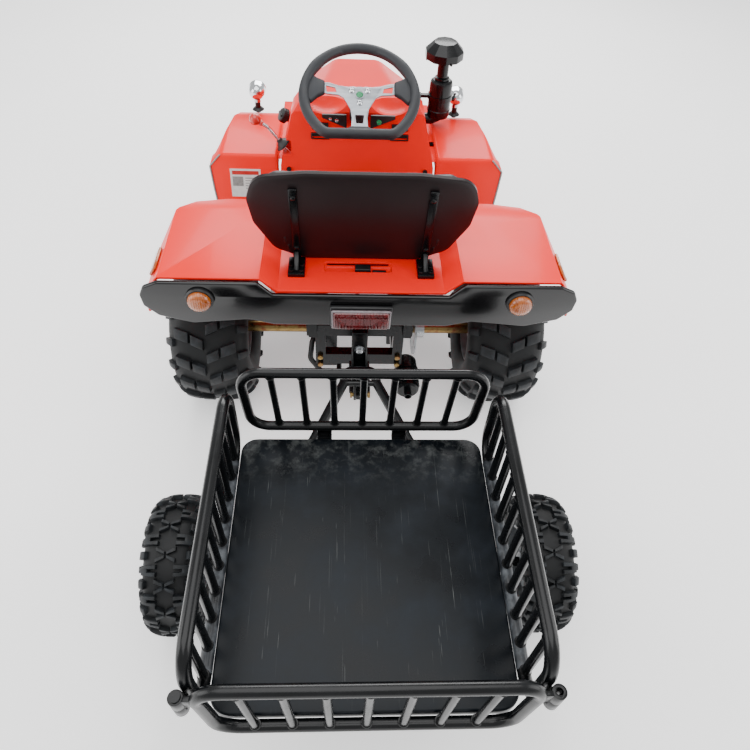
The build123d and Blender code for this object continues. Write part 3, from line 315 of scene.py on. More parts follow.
# %% Colours and the one node helper
def linear(code):
    """A hex sRGB colour as linear RGBA."""
    parts = [int(code[i:i + 2], 16) / 255 for i in (1, 3, 5)]
    return [c / 12.92 if c <= 0.04045 else ((c + 0.055) / 1.055) ** 2.4 for c in parts] + [1.0]


def add(material, kind, settings=None, links=None):
    """Adds a node, gives it settings and feeds its sockets."""
    node = material.node_tree.nodes.new("ShaderNode" + kind)
    for name, value in (settings or {}).items():
        if isinstance(name, str) and name[0].islower():
            setattr(node, name, value)
        else:
            node.inputs[name].default_value = value
    for name, socket in (links or {}).items():
        material.node_tree.links.new(socket, node.inputs[name])
    return node


def ramp(material, source, stops):
    """Turns a value into a colour or a grey by a few stops."""
    node = add(material, "ValToRGB", {}, {"Fac": source})
    elements = node.color_ramp.elements
    while len(elements) < len(stops):
        elements.new(0.5)
    for element, (where, colour) in zip(elements, stops):
        element.position = where
        element.color = linear(colour) if isinstance(colour, str) else (colour, colour, colour, 1)
    return node.outputs["Color"]


def finish(name, colours, roughness, metallic=0.0, coat=0.0, patch=120.0, grain=0.8, depth=0.02,
           stretch=(1, 1, 1), ior=None, specular=0.5):
    """A finish: patches of colour and gloss some millimetres wide, over a fine bump of one grain."""
    material = bpy.data.materials.new(name)
    material.use_nodes = True
    shader = material.node_tree.nodes["Principled BSDF"]
    shader.inputs["Metallic"].default_value = metallic
    shader.inputs["Coat Weight"].default_value = coat
    shader.inputs["Coat Roughness"].default_value = 0.06
    shader.inputs["Specular IOR Level"].default_value = specular
    if ior:
        shader.inputs["IOR"].default_value = ior
    links = material.node_tree.links
    where = add(material, "TexCoord").outputs["Object"]
    where = add(material, "Mapping", {"Scale": stretch}, {"Vector": where}).outputs["Vector"]
    broad = add(material, "TexNoise", {"Scale": 1 / (patch * MM), "Detail": 5.0, "Roughness": 0.6},
                {"Vector": where}).outputs[0]
    steps = [(0.3 + 0.4 * i / (len(colours) - 1), colour) for i, colour in enumerate(colours)]
    links.new(ramp(material, broad, steps), shader.inputs["Base Color"])
    gloss = add(material, "MapRange", {"From Min": 0.3, "From Max": 0.7, "To Min": roughness[0],
                                       "To Max": roughness[1]}, {"Value": broad})
    links.new(gloss.outputs["Result"], shader.inputs["Roughness"])
    fine = add(material, "TexNoise", {"Scale": 1 / (grain * MM), "Detail": 3.0}, {"Vector": where}).outputs[0]
    bump = add(material, "Bump", {"Strength": 0.35, "Distance": depth * MM}, {"Height": fine})
    links.new(bump.outputs["Normal"], shader.inputs["Normal"])
    return material


# %% [markdown]
# Gloss ABS shows a soft orange peel some millimetres wide. Powder coat is finer and a little duller,
# and zinc passivate wanders between gold, green and rose. Most grains here are drawn two or three
# times coarser than life, because the true ones would be too fine to see.

# %% Plastics, paints and metals
red_abs = finish("red_gloss_abs", ["#f0150c", "#fb1d10"], (0.30, 0.42), coat=0.05, patch=300, grain=7, depth=0.05,
                 specular=0.16)
red_knob = finish("red_phenolic_ball", ["#c01a14", "#cf2218"], (0.12, 0.2), coat=0.6, patch=30, grain=3, depth=0.01)
gloss_black = finish("black_gloss_abs", ["#050506", "#0a0a0c"], (0.10, 0.2), coat=0.1, patch=160, grain=7, depth=0.05)
satin_black = finish("black_polypropylene", ["#0c0c0e", "#141416"], (0.34, 0.5), patch=40, grain=0.9, depth=0.06)
seat_shell = finish("seat_shell_polypropylene", ["#140d0e", "#1c1214"], (0.30, 0.42), specular=0.3, patch=220,
                    grain=1.4, depth=0.05)
powder_coat = finish("black_powder_coat", ["#040506", "#090b0e"], (0.18, 0.32), specular=0.35, patch=60,
                     grain=2.2, depth=0.06)
# The rubbed coat is the black powder coat lightened to grey. It is partly rubbed paint and partly a painted highlight
# on the lower rails.
rubbed_and_highlit_coat = finish("rubbed_and_highlit_powder_coat", ["#0c0e11", "#23272c", "#565b60"], (0.25, 0.5), patch=26,
                   grain=1.6, depth=0.08)
zinc_gold = finish("yellow_zinc_passivate", ["#7a5a30", "#988254", "#7c3a30"], (0.25, 0.42), 1.0, patch=22, grain=1.2,
                   depth=0.03)
zinc_white = finish("bright_zinc_plate", ["#9fa2a4", "#c2c5c8"], (0.22, 0.4), 1.0, patch=24, grain=0.8, depth=0.04)
chrome_plate = finish("bright_chrome_plate", ["#cfd2d6", "#e4e6e8"], (0.04, 0.12), 1.0, patch=40, grain=4, depth=0.01)
spoke_plate = finish("brushed_spoke_plate", ["#8f9398", "#b4b8bd"], (0.3, 0.45), 1.0, patch=14, grain=0.7, depth=0.03,
                     stretch=(0.12, 1, 1))
cast_alloy = finish("sand_cast_alloy", ["#6f7276", "#94979a"], (0.45, 0.62), 1.0, patch=30, grain=1.6, depth=0.2)
wheel_paint = finish("silver_wheel_paint", ["#76797c", "#94979a"], (0.3, 0.42), 0.6, patch=30, grain=0.6, depth=0.02)
grip_foam = finish("moulded_grip_urethane", ["#1a1c20", "#26292e"], (0.5, 0.68), patch=26, grain=1.0, depth=0.12)
casing_rubber = finish("tyre_casing_rubber", ["#08090a", "#111315"], (0.5, 0.66), specular=0.35, patch=36,
                       grain=1.5, depth=0.12)
lug_rubber = finish("tyre_lug_rubber", ["#0b0d0e", "#15181b", "#262a2e"], (0.42, 0.66), specular=0.4,
                    patch=20, grain=1.5, depth=0.2)
hose_rubber = finish("smooth_hose_rubber", ["#0b0b0c", "#161617"], (0.4, 0.55), patch=14, grain=0.6, depth=0.04)
white_film = finish("white_label_film", ["#c9c6c2", "#dedbd7"], (0.3, 0.42), coat=0.2, patch=18, grain=1.0, depth=0.02)
red_film = finish("red_label_film", ["#b6201a", "#c62a20"], (0.3, 0.42), coat=0.2, patch=18, grain=1.0, depth=0.02)
grey_film = finish("grey_label_film", ["#7b7876", "#96928f"], (0.3, 0.42), coat=0.2, patch=6, grain=1.0, depth=0.02)
green_button = finish("green_button_abs", ["#1f7a4a", "#2b9560"], (0.2, 0.3), patch=6, grain=0.6, depth=0.01)


# %% [markdown]
# Lamp lenses are clear acrylic coloured in the mass, with moulded ribs behind a glossy face. The
# ribs are a wave a few millimetres apart, and a little of the light passes through.

# %% Lenses
def lens(name, colours, rib, axis):
    material = finish(name, colours, (0.05, 0.12), coat=0.8, patch=16, grain=3, depth=0.01, ior=1.49)
    shader = material.node_tree.nodes["Principled BSDF"]
    shader.inputs["Transmission Weight"].default_value = 0.25
    where = add(material, "TexCoord").outputs["Object"]
    ribs = add(material, "TexWave", {"wave_type": "BANDS", "bands_direction": axis, "wave_profile": "SIN",
                                     "Scale": 0.314 / (rib * MM)}, {"Vector": where}).outputs["Fac"]
    bump = add(material, "Bump", {"Strength": 0.6, "Distance": 0.8 * MM}, {"Height": ribs})
    material.node_tree.links.new(bump.outputs["Normal"], shader.inputs["Normal"])
    return material


amber_lens = lens("amber_acrylic_lens", ["#a04a10", "#c86a1a"], 5.0, "X")
red_lens = lens("red_acrylic_lens", ["#4c050a", "#7c0b12"], 7.0, "X")
clear_rim = finish("clear_acrylic_rim", ["#5a5054", "#7d7478"], (0.1, 0.2), coat=0.8, patch=16, grain=3, depth=0.01)

# %% [markdown]
# The seat is covered in vinyl, whose leather grain is a network of small cells. A Voronoi pattern
# with cells three millimetres wide, coarser than life, gives the pebbled bump.

# %% Vinyl
vinyl = finish("grained_seat_vinyl", ["#0d0d0f", "#151517"], (0.38, 0.5), patch=50, grain=1.0, depth=0.05)
vinyl_shader = vinyl.node_tree.nodes["Principled BSDF"]
vinyl_place = add(vinyl, "TexCoord").outputs["Object"]
cells = add(vinyl, "TexVoronoi", {"feature": "DISTANCE_TO_EDGE", "Scale": 1 / (3 * MM)}, {"Vector": vinyl_place})
pebble = add(vinyl, "Bump", {"Strength": 0.5, "Distance": 0.25 * MM}, {"Height": cells.outputs["Distance"]})
vinyl.node_tree.links.new(pebble.outputs["Normal"], vinyl_shader.inputs["Normal"])

# %% [markdown]
# The trailer floor is enamelled sheet that loads have dragged over. Long hairline scratches run
# nearly fore and aft, shorter ones cross them, and the paint near the front edge is rubbed grey.
# A noise stretched a hundred times along one direction gives each family of scratches.

# %% Scuffed tray enamel
tray_enamel = finish("scuffed_tray_enamel", ["#070a0e", "#0c1116", "#131920"], (0.24, 0.4), specular=0.2,
                     patch=90, grain=5, depth=0.06)
tray_shader = tray_enamel.node_tree.nodes["Principled BSDF"]
tray_links = tray_enamel.node_tree.links
tray_place = add(tray_enamel, "TexCoord").outputs["Object"]


def scratches(turn, fineness, length, low, high, offset):
    """One family of scratches: a stretched noise cut to thin lines, kept only in patches."""
    turned = add(tray_enamel, "Mapping", {"Rotation": (0, 0, math.radians(turn)), "Location": (offset, offset, 0),
                                          "Scale": (1 / (fineness * MM), 1 / (length * MM), 1)}, {"Vector": tray_place})
    lines = add(tray_enamel, "TexNoise", {"Scale": 1.0, "Detail": 1.0, "Distortion": 0.15},
                {"Vector": turned.outputs["Vector"]}).outputs[0]
    thin = ramp(tray_enamel, lines, [(low, 0.0), (high, 1.0)])
    spots = add(tray_enamel, "TexNoise", {"Scale": 14.0, "Detail": 2.0},
                {"Vector": tray_place}).outputs[0]
    kept = ramp(tray_enamel, spots, [(0.45, 0.0), (0.62, 1.0)])
    return add(tray_enamel, "Math", {"operation": "MULTIPLY"}, {0: thin, 1: kept}).outputs[0]


families = [scratches(3, 1.1, 260, 0.755, 0.79, 0.3), scratches(-24, 1.2, 320, 0.75, 0.785, 1.7),
            scratches(24, 1.2, 300, 0.755, 0.79, 4.1), scratches(78, 1.3, 60, 0.75, 0.78, 2.6)]
marks = families[0]
for family in families[1:]:
    marks = add(tray_enamel, "Math", {"operation": "MAXIMUM"}, {0: marks, 1: family}).outputs[0]
along = add(tray_enamel, "SeparateXYZ", {}, {"Vector": tray_place}).outputs["Y"]
near_front = add(tray_enamel, "MapRange", {"From Min": -0.60, "From Max": -0.485, "To Min": 0.0, "To Max": 0.8},
                 {"Value": along}).outputs["Result"]
cloud = add(tray_enamel, "TexNoise", {"Scale": 34.0, "Detail": 9.0, "Roughness": 0.75},
            {"Vector": tray_place}).outputs[0]
rubbed = add(tray_enamel, "Math", {"operation": "MULTIPLY"}, {0: near_front, 1: ramp(
    tray_enamel, cloud, [(0.48, 0.0), (0.72, 1.0)])}).outputs[0]
wear = add(tray_enamel, "Math", {"operation": "MAXIMUM"}, {0: marks, 1: rubbed}).outputs[0]
old_colour = tray_shader.inputs["Base Color"].links[0].from_socket
mixed = add(tray_enamel, "Mix", {"data_type": "RGBA", 7: linear("#7d807e")}, {0: add(
    tray_enamel, "Math", {"operation": "MULTIPLY", 1: 0.55}, {0: wear}).outputs[0], 6: old_colour})
tray_links.new(mixed.outputs[2], tray_shader.inputs["Base Color"])

# %% [markdown]
# The floor is seamless pale paper.

# %% Floor
floor_paper = finish("studio_paper", ["#fafafa", "#fdfdfd"], (0.8, 0.9), patch=900, grain=4, depth=0.02)
glow = floor_paper.node_tree.nodes["Principled BSDF"]
glow.inputs["Emission Color"].default_value = (1, 1, 1, 1)
glow.inputs["Emission Strength"].default_value = 0.45
only()
bpy.ops.mesh.primitive_grid_add(x_subdivisions=4, y_subdivisions=4, size=24, location=(0, 0, -0.0005))
floor = settle(bpy.context.object)
floor.name = "studio_floor"
floor.data.materials.append(floor_paper)

# %% [markdown]
# A tyre is a casing with rubber lugs. The casing's section, from bead over the crown to the other
# bead and back inside, is spun about the axle. A lug is modelled once as a small tapered block, and
# each copy is laid on the casing by the distance across it and the distance round it.


# %% Tyre casing
def casing_section(rim_radius, rim_width, crown, half):
    """The outer section from one bead to the other, in millimetres from the wheel's centre."""
    bead = rim_width / 2 - 4
    middle = rim_radius + 0.42 * (crown - rim_radius)
    right = []
    for i in range(15):
        t = math.pi / 2 * (1 - i / 14)
        right.append((half * math.cos(t) ** (2 / 3.0), middle + (crown - middle) * math.sin(t) ** (2 / 3.0)))
    for i in range(1, 8):
        t = math.pi / 2 * i / 7
        right.append((bead + (half - bead) * math.cos(t), middle - (middle - rim_radius - 0.4) * math.sin(t)))
    return [(-a, b) for a, b in reversed(right[1:])] + right


def laid_on(section, across_u, round_s, height, crown):
    """Where a point lands: u across the casing, s round it, and height above it."""
    points = np.array(section)
    lengths = np.concatenate([[0], np.cumsum(np.hypot(*np.diff(points, axis=0).T))])
    lengths = lengths - lengths[-1] / 2
    x, r = np.interp(across_u, lengths, points[:, 0]), np.interp(across_u, lengths, points[:, 1])
    slope = np.gradient(points, axis=0)
    nx, nr = np.interp(across_u, lengths, -slope[:, 1]), np.interp(across_u, lengths, slope[:, 0])
    size = np.hypot(nx, nr)
    x, r = x + nx / size * height, r + nr / size * height
    angle = round_s / crown
    return np.stack([x, r * np.sin(angle), r * np.cos(angle)], 1)


# %% [markdown]
# A tread lug is moulded rubber with sloping flanks and a worn top edge. One block is extruded up in
# three shrinking steps, and every lug of every tyre is that block laid on its casing.

# %% One lug block
only()
bpy.ops.mesh.primitive_grid_add(x_subdivisions=4, y_subdivisions=2, size=1)
lug_block = bpy.context.object
bpy.ops.object.mode_set(mode="EDIT")
bpy.ops.mesh.select_all(action="SELECT")
for rise, shrink in ((0.72, 0.92), (0.22, 0.95), (0.06, 0.84)):
    bpy.ops.mesh.extrude_region_move(TRANSFORM_OT_translate={"value": (0, 0, rise)})
    bpy.ops.transform.resize(value=(shrink, shrink, 1))
bpy.ops.mesh.select_all(action="SELECT")
bpy.ops.mesh.select_non_manifold(extend=False)
bpy.ops.mesh.edge_face_add()
bpy.ops.mesh.select_all(action="SELECT")
bpy.ops.mesh.normals_make_consistent(inside=False)
bpy.ops.object.mode_set(mode="OBJECT")
block_points = np.array([vertex.co for vertex in lug_block.data.vertices])
block_faces = [list(polygon.vertices) for polygon in lug_block.data.polygons]
bpy.data.objects.remove(lug_block)
print("lug block", len(block_faces), "faces")


# %% [markdown]
# The rear tyres carry slanted bars that meet in a broken V, with a stubby block on each shoulder.
# The trailer and front tyres are knobby: crossed pairs of blocks down the middle, and knobs that
# wrap the shoulders. A pattern is a list of four-cornered lugs for one step round the tyre.

# %% Tread patterns
REAR_STEP = [((2, 0), (34, 13), (34, 38), (2, 24), 12), ((36, 15), (72, 26), (72, 52), (36, 41), 12),
             ((76, 4), (104, 6), (104, 24), (76, 24), 9), ((-2, 33), (-34, 46), (-34, 71), (-2, 57), 12),
             ((-36, 48), (-72, 59), (-72, 85), (-36, 74), 12), ((-76, 37), (-104, 39), (-104, 57), (-76, 57), 9)]
KNOB_STEP = []
for side in (-1, 1):
    for way in (-1, 1):
        KNOB_STEP += [((side * 1, 10), (side * 1, 10 + way * 4), (side * 19, 10 + way * 11),
                       (side * 19, 10 + way * 5), 9),
                      ((side * 15, 31 + way * 2), (side * 44, 31 + way * 2), (side * 44, 31 + way * 7),
                       (side * 15, 31 + way * 8), 9)]
    KNOB_STEP += [((side * 30, 27), (side * 48, 27), (side * 48, 35), (side * 30, 35), 9),
                  ((side * 37, 4), (side * 50, 3), (side * 50, 17), (side * 37, 16), 9),
                  ((side * 54, 6), (side * 68, 7), (side * 68, 14), (side * 54, 15), 7),
                  ((side * 52, 25), (side * 66, 26), (side * 66, 36), (side * 52, 37), 7)]


def tread(name, section, crown, step, pitches, centre, span):
    """Every lug of one tyre as one mesh."""
    pitch, points, faces = 2 * math.pi * crown / pitches, [], []
    for turn in range(pitches):
        for *corners, height in step:
            (au, a_s), (bu, b_s), (cu, c_s), (du, d_s) = corners
            i, j = block_points[:, 0] + 0.5, block_points[:, 1] + 0.5
            u = (1 - i) * (1 - j) * au + i * (1 - j) * bu + i * j * cu + (1 - i) * j * du
            s = (1 - i) * (1 - j) * a_s + i * (1 - j) * b_s + i * j * c_s + (1 - i) * j * d_s
            spot = laid_on(section, u, s * pitch / span + turn * pitch, block_points[:, 2] * (height + 2) - 2, crown)
            faces += [[v + len(points) for v in face] for face in block_faces]
            points += (spot + np.array(centre)).tolist()
    mesh = bpy.data.meshes.new(name)
    mesh.from_pydata((np.array(points) * MM).tolist(), [], faces)
    lugs = bpy.data.objects.new(name, mesh)
    bpy.context.scene.collection.objects.link(lugs)
    only(lugs)
    bpy.ops.object.mode_set(mode="EDIT")
    bpy.ops.mesh.select_all(action="SELECT")
    bpy.ops.mesh.normals_make_consistent(inside=False)
    bpy.ops.object.mode_set(mode="OBJECT")
    return lugs


# %% [markdown]
# A rim is two pressed dishes of sheet with rolled lips, a disc with vent holes, and a hub. The barrel
# and disc are turned sections, because that is how they are spun, and the vents are cut afterwards.

# %% Rims
def rim(centre, radius, width, disc_x, hub, vents, nuts, nut_circle, hub_bore):
    """A pressed rim with rolled lips, a dished disc with vent holes, a hub and its nuts."""
    half = width / 2
    section = [(-half, radius - 3), (-half - 0.5, radius + 6), (-half + 1.2, radius + 8.7), (-half + 3.2, radius + 7),
               (-half + 3.5, radius), (-half * 0.45, radius - 1), (-half * 0.3, radius - 9), (half * 0.3, radius - 9),
               (half * 0.45, radius - 1), (half - 3.5, radius), (half - 3.2, radius + 7), (half - 1.2, radius + 8.7),
               (half + 0.5, radius + 6), (half, radius - 3), (half * 0.42, radius - 4), (half * 0.27, radius - 12),
               (-half * 0.27, radius - 12), (-half * 0.42, radius - 4)]
    barrel = lathe(section, centre)
    edge = radius - 10
    disc = lathe([(disc_x, hub_bore), (disc_x, edge * 0.42), (disc_x + 7, edge * 0.56), (disc_x + 7, edge * 0.8),
                  (disc_x, edge), (disc_x + 3, edge + 1), (disc_x + 11, edge * 0.82), (disc_x + 11, edge * 0.54),
                  (disc_x + 4, edge * 0.4), (disc_x + 4, hub_bore)], centre)
    for i in range(vents):
        turn = 2 * math.pi * (i + 0.5) / vents
        y, z = centre[1] + math.cos(turn) * edge * 0.68, centre[2] + math.sin(turn) * edge * 0.68
        combine(disc, bar((centre[0] + disc_x - 20, y, z), (centre[0] + disc_x + 30, y, z), edge * 0.11, 20))
    core = lathe([(hub[0], hub_bore), (hub[0], hub[2] - 2), (hub[0] + 2, hub[2]), (hub[1] - 2, hub[2]),
                  (hub[1], hub[2] - 2), (hub[1], hub_bore)], centre, 40)
    pieces = [barrel, disc, core]
    for i in range(nuts):
        turn = 2 * math.pi * i / nuts
        spot = (centre[0] + disc_x + 4, centre[1] + math.cos(turn) * nut_circle,
                centre[2] + math.sin(turn) * nut_circle)
        pieces.append(hexagon(spot, (1, 0, 0), 17, 8))
    valve = bar((centre[0] + disc_x + 4, centre[1], centre[2] - radius + 16),
                (centre[0] + disc_x + 34, centre[1], centre[2] - radius + 20), 4, 14)
    return join(*pieces, valve)


# %% [markdown]
# The six wheels share the tyre and rim builders. Each right wheel is made once, and the left is its
# mirror image. Sizes are those of the axle each wheel runs on.

# %% Wheels
wheels = [("rear", (375, 0, 203), 203, 206, 90, 150, REAR_STEP, 17, 66, 12, -10, (-70, 20, 26), 55, 15.3),
          ("front", (350, 690, 165), 165, 118, 78, 88, KNOB_STEP, 17, 42, 10, 4, (-34, 30, 22), 44, 10.3),
          ("trailer", (376, -655, 146), 146, 112, 76, 82, KNOB_STEP, 15, 42, 10, 4, (-34, 30, 22), 44, 10.3)]
for (group, centre, radius, width, rim_radius, rim_width, step, pitches, span, lug, disc_x, hub, circle,
     bore) in wheels:
    crown = radius - lug - 1
    section = casing_section(rim_radius, rim_width, crown, width / 2 - 7)
    inside = [(a * 0.9, b - 7 if b > rim_radius + 30 else b) for a, b in reversed(section)]
    casing = lathe(section + [(a, max(b, rim_radius + 0.4)) for a, b in inside], centre, 96)
    lugs = tread(group, section, crown, step, pitches, centre, span)
    wheel = rim(centre, rim_radius, rim_width, disc_x, hub, 6, 4, circle, bore)
    right = [(casing, "tyre", casing_rubber, "tyre_rubber"), (lugs, "tread", lug_rubber, "tyre_rubber"),
             (wheel, "rim", wheel_paint, "grey_wheel_paint")]
    for side, sign in (("left", -1), ("right", 1)):
        for piece, part, material, slot in right:
            made = twin(piece) if side == "left" else piece
            body = {"rear": "rear_axle", "front": f"front_wheel_{side}", "trailer": f"trailer_wheel_{side}"}[group]
            replaced = {"tyre": [f"{group}_tyre_{side}"], "tread": [],
                        "rim": [f"{group}_rim_{side}"] if group != "rear" else ["rear_rims"]}[part]
            place(made, f"{group}_{part}_{side}_made", material, body, replaced)

# %% [markdown]
# The red bodywork is thin moulded sheet. Each moulding is where an outline seen from behind crosses
# an outline seen from the side. Its hidden faces are dropped, its edges rounded as a mould needs,
# and the skin is given its wall thickness inwards.


# %% Mouldings
def moulding(front, side, x, y, hidden, bend, wall=3.5, cutters=(), angle=20):
    """A skin where two outlines cross, cut, opened at its hidden faces, rounded and thickened."""
    skin = combine(prism(front, "Y", y), prism(side, "X", x), "INTERSECT")
    for cutter in cutters:
        combine(skin, cutter)
    drop_faces(skin, hidden)
    fix_normals(skin)
    round_edges(skin, bend, 5, angle)
    return thicken(skin, wall)


def both_ways(half):
    """An outline from its right half, listed from the middle outwards and down."""
    return half + [(-a, b) for a, b in reversed(half)]


def ball(centre, radii, segments=32):
    """A stretched sphere, for dishing a panel."""
    only()
    bpy.ops.mesh.primitive_uv_sphere_add(segments=segments, ring_count=segments // 2, radius=1,
                                         location=Vector(centre) * MM)
    bpy.context.object.scale = Vector(radii) * MM
    return settle(bpy.context.object)


# %% [markdown]
# The rear mudguards and the deck between them are one moulding. A slot in the deck lets the wiring
# through, and a rubber grommet closes a small hole beside it. A rolled lip stiffens the rear edge.

# %% Rear mudguards
fender_front = both_ways([(185, 495), (222, 530), (440, 530), (475, 478), (475, 408)])
fender_side = [(-187, 470), (-187, 530), (70, 530), (150, 502), (225, 422), (211, 408), (130, 462), (40, 470)]
slot_cut = round_edges(block((-84, 70), (-118, -84), (480, 505)), 6, 3)


def corner_cut(sign, line, z):
    """A tool that takes the corner off a mudguard outside a line on the ground plan."""
    far = [(600, line[-1][1]), (600, line[0][1])]
    return prism([(sign * a, b) for a, b in list(line) + far], "Z", z)


guard_plan = [(486, -150), (472, -40), (440, 60), (404, 122), (330, 150), (290, 240)]
fender_cuts = [corner_cut(sign, guard_plan, (380, 560)) for sign in (-1, 1)]
fender = moulding(fender_front, fender_side, (-500, 500), (-187, 240),
                  lambda c, n: n.z < -0.3 or (n.y < -0.9 and c.y < -180), 14, cutters=[slot_cut, *fender_cuts])
lip_line = [(-474, -183, 430), (-474, -183, 480), (-440, -183, 526), (-222, -183, 526), (-185, -183, 492),
            (185, -183, 492), (222, -183, 526), (440, -183, 526), (474, -183, 480), (474, -183, 430)]
fender_lip = tube(lip_line, 3.4, 12, sides=3)
place(join(fender, fender_lip), "rear_mudguards", red_abs, "tractor", ["rear_fender_shell"])
slot_tray = combine(block((-88, 74), (-122, -80), (470, 490.5)), block((-84, 70), (-118, -84), (474, 495)))
connector = round_edges(block((-14, 22), (-112, -92), (474, 497)), 2)
connector_lug = round_edges(block((26, 58), (-108, -98), (474, 486)), 2)
grommet = lathe([(494.5, 5), (494.5, 11), (497, 12), (499, 10), (499, 5)], (276, -62, 0), 28, (0, 0, 1))
place(join(slot_tray, connector, connector_lug, grommet), "deck_fittings", satin_black, "tractor")

# %% [markdown]
# A gloss black valance closes the rear of the mudguards and carries the lamps.

# %% Valance and lamps
SIGNAL_X, HEADLAMP_X = 353, 320
valance_half = [(195, 493), (225, 525), (440, 525), (472, 511), (483, 488), (480, 458), (452, 428), (378, 406),
                (253, 419), (196, 404)]
valance = prism(both_ways(valance_half), "Y", (-199.3, -187.3))
round_edges(valance, 4.5, 4, 20)
place(valance, "rear_valance_made", gloss_black, "tractor", ["rear_valance"])


def signal(sign):
    """A round indicator: black base with a lip and a ribbed amber dome."""
    base = lathe([(-199.6, 0.5), (-199.6, 31), (-205, 31), (-208.6, 28), (-208.6, 0.5)], (sign * SIGNAL_X, 0, 483), 40,
                 (0, 1, 0))
    dome = lathe([(-208.4, 0.5), (-208.4, 25.5), (-213, 25.5), (-219, 23), (-223, 17), (-224, 8), (-224, 0.5)],
                 (sign * SIGNAL_X, 0, 483), 40, (0, 1, 0))
    return base, dome


signal_parts = [signal(sign) for sign in (-1, 1)]
domes = [parts[1] for parts in signal_parts]
reflectors = []
for sign in (-1, 1):
    plate = round_edges(block((-14, 14), (-38, 38), (0.3, 8)), 4, 3)
    plate.data.transform(Matrix.Translation(Vector((sign * 457.5, -104, 504)) * MM)
                         @ Matrix.Rotation(math.radians(sign * 56), 4, "Y"))
    reflectors.append(plate)
place(join(*domes, *reflectors), "amber_lamps", amber_lens, "tractor", ["amber_lenses"])
housing = round_edges(block((-70, 70), (-211.6, -199.6), (410, 470)), 4, 3)
lamp_parts = [parts[0] for parts in signal_parts] + [housing]
for sign in (-1, 1):
    stem = bar((sign * HEADLAMP_X, 781, 412), (sign * HEADLAMP_X, 781, 450), 9, 24)
    foot = bar((sign * HEADLAMP_X, 781, 419.5), (sign * HEADLAMP_X, 781, 427), 19, 32, 12)
    lamp_parts += [stem, foot]
place(join(*lamp_parts), "lamp_housings", satin_black, "tractor", ["lamp_bodies"])
tail = round_edges(block((-63, 63), (-226, -212), (416, 464)), 6, 4)
for rib in range(1, 9):
    combine(tail, block((-63 + rib * 14 - 0.8, -63 + rib * 14 + 0.8), (-230, -225), (414, 466)))
place(tail, "tail_lamp", red_lens, "tractor", ["tail_lamp_lens"])
tail_rim = combine(round_edges(block((-67, 67), (-221, -212), (413, 467)), 7, 4),
                   block((-62.5, 62.5), (-240, -200), (416.5, 463.5)))
place(tail_rim, "tail_lamp_rim", clear_rim, "tractor")
heads = []
for sign in (-1, 1):
    centre = (sign * HEADLAMP_X, 0, 475)
    shell = lathe([(761, 0.5), (762, 10), (767, 18), (777, 24), (789, 26), (803, 26), (807, 27.5), (810, 26),
                   (811, 20), (809, 0.5)], centre, 44, (0, 1, 0))
    neck = bar((sign * HEADLAMP_X, 781, 446), (sign * HEADLAMP_X, 781, 460), 11, 28, 8)
    heads += [shell, neck]
place(join(*heads), "headlamps", chrome_plate, "tractor", ["headlamp_heads"])

# %% [markdown]
# The seat back is a moulded shell, crowned a little behind, with a vinyl pad in front of it. The
# shell is a rounded outline inset in steps, each step standing a little prouder than the last.

# %% Seat shells
BACK_TILT = math.radians(10)
back_place = Matrix(((1, 0, 0, 0), (0, -math.sin(BACK_TILT), -math.cos(BACK_TILT), -62 * MM),
                     (0, math.cos(BACK_TILT), -math.sin(BACK_TILT), 499 * MM), (0, 0, 0, 1)))
back_half = [(132, -2), (196, 30), (236, 110), (244, 176), (226, 234), (120, 246)]


def back_outline(inset, bend=46):
    """The seat back's outline drawn in by an inset, in its own plane."""
    middle = Vector((0, 120, 0))
    points = [Vector((a, b, 0)) for a, b in both_ways(back_half)]
    points = [point - (point - middle).normalized() * inset for point in points]
    return [(point.x, point.y) for point in rounded(points, bend, 6, True)]


def crown(piece, middle, steps):
    """Draws the upper face in towards a middle, step by step, each step standing a little prouder."""
    only(piece)
    for part in (piece.data.vertices, piece.data.edges, piece.data.polygons):
        part.foreach_set("select", [False] * len(part))
    for polygon in piece.data.polygons:
        polygon.select = polygon.normal.z > 0.95
    bpy.ops.object.mode_set(mode="EDIT")
    bpy.ops.mesh.select_mode(type="FACE")
    for share, depth in steps:
        bpy.ops.mesh.extrude_region_move(TRANSFORM_OT_translate={"value": (0, 0, depth * MM)})
        bpy.ops.transform.resize(value=(share, share, 1), center_override=Vector(middle) * MM)
    bpy.ops.mesh.select_mode(type="VERT")
    bpy.ops.object.mode_set(mode="OBJECT")
    return piece


shell = prism(back_outline(0), "Z", (0, 8))
crown(shell, (0, 125, 0), [(0.99, 1.2), (0.97, 1.0), (0.93, 0.9), (0.85, 0.6), (0.7, 0.3), (0.5, 0.0)])
shell.data.transform(back_place)
place(shell, "seat_back_moulding", seat_shell, "tractor", ["seat_back_shell"], angle=30)
slots = []
for sign in (-1, 1):
    for at, low in ((164, 26), (171, 50)):
        slots.append(round_edges(block((sign * at - 2.5, sign * at + 2.5), (low, low + 18), (10, 12.6)), 1, 2))
slots = join(*slots)
slots.data.transform(back_place)
place(slots, "seat_back_slot_liners", satin_black, "tractor")
pan = round_edges(prism([(a, b) for a, b in [(point.x, point.y) for point in rounded(
    [(-176, -34, 0), (176, -34, 0), (176, 222, 0), (-176, 222, 0)], 34, 6, True)]], "Z", (495, 509)), 4, 3)
place(pan, "seat_base_moulding", seat_shell, "tractor", ["seat_base_shell"])

# %% [markdown]
# Two flat steel straps run up the shell's back from feet bolted to the deck. They are cut from plain
# bar, bent and drilled, so each one is an eased block with its rib and its bolt heads.

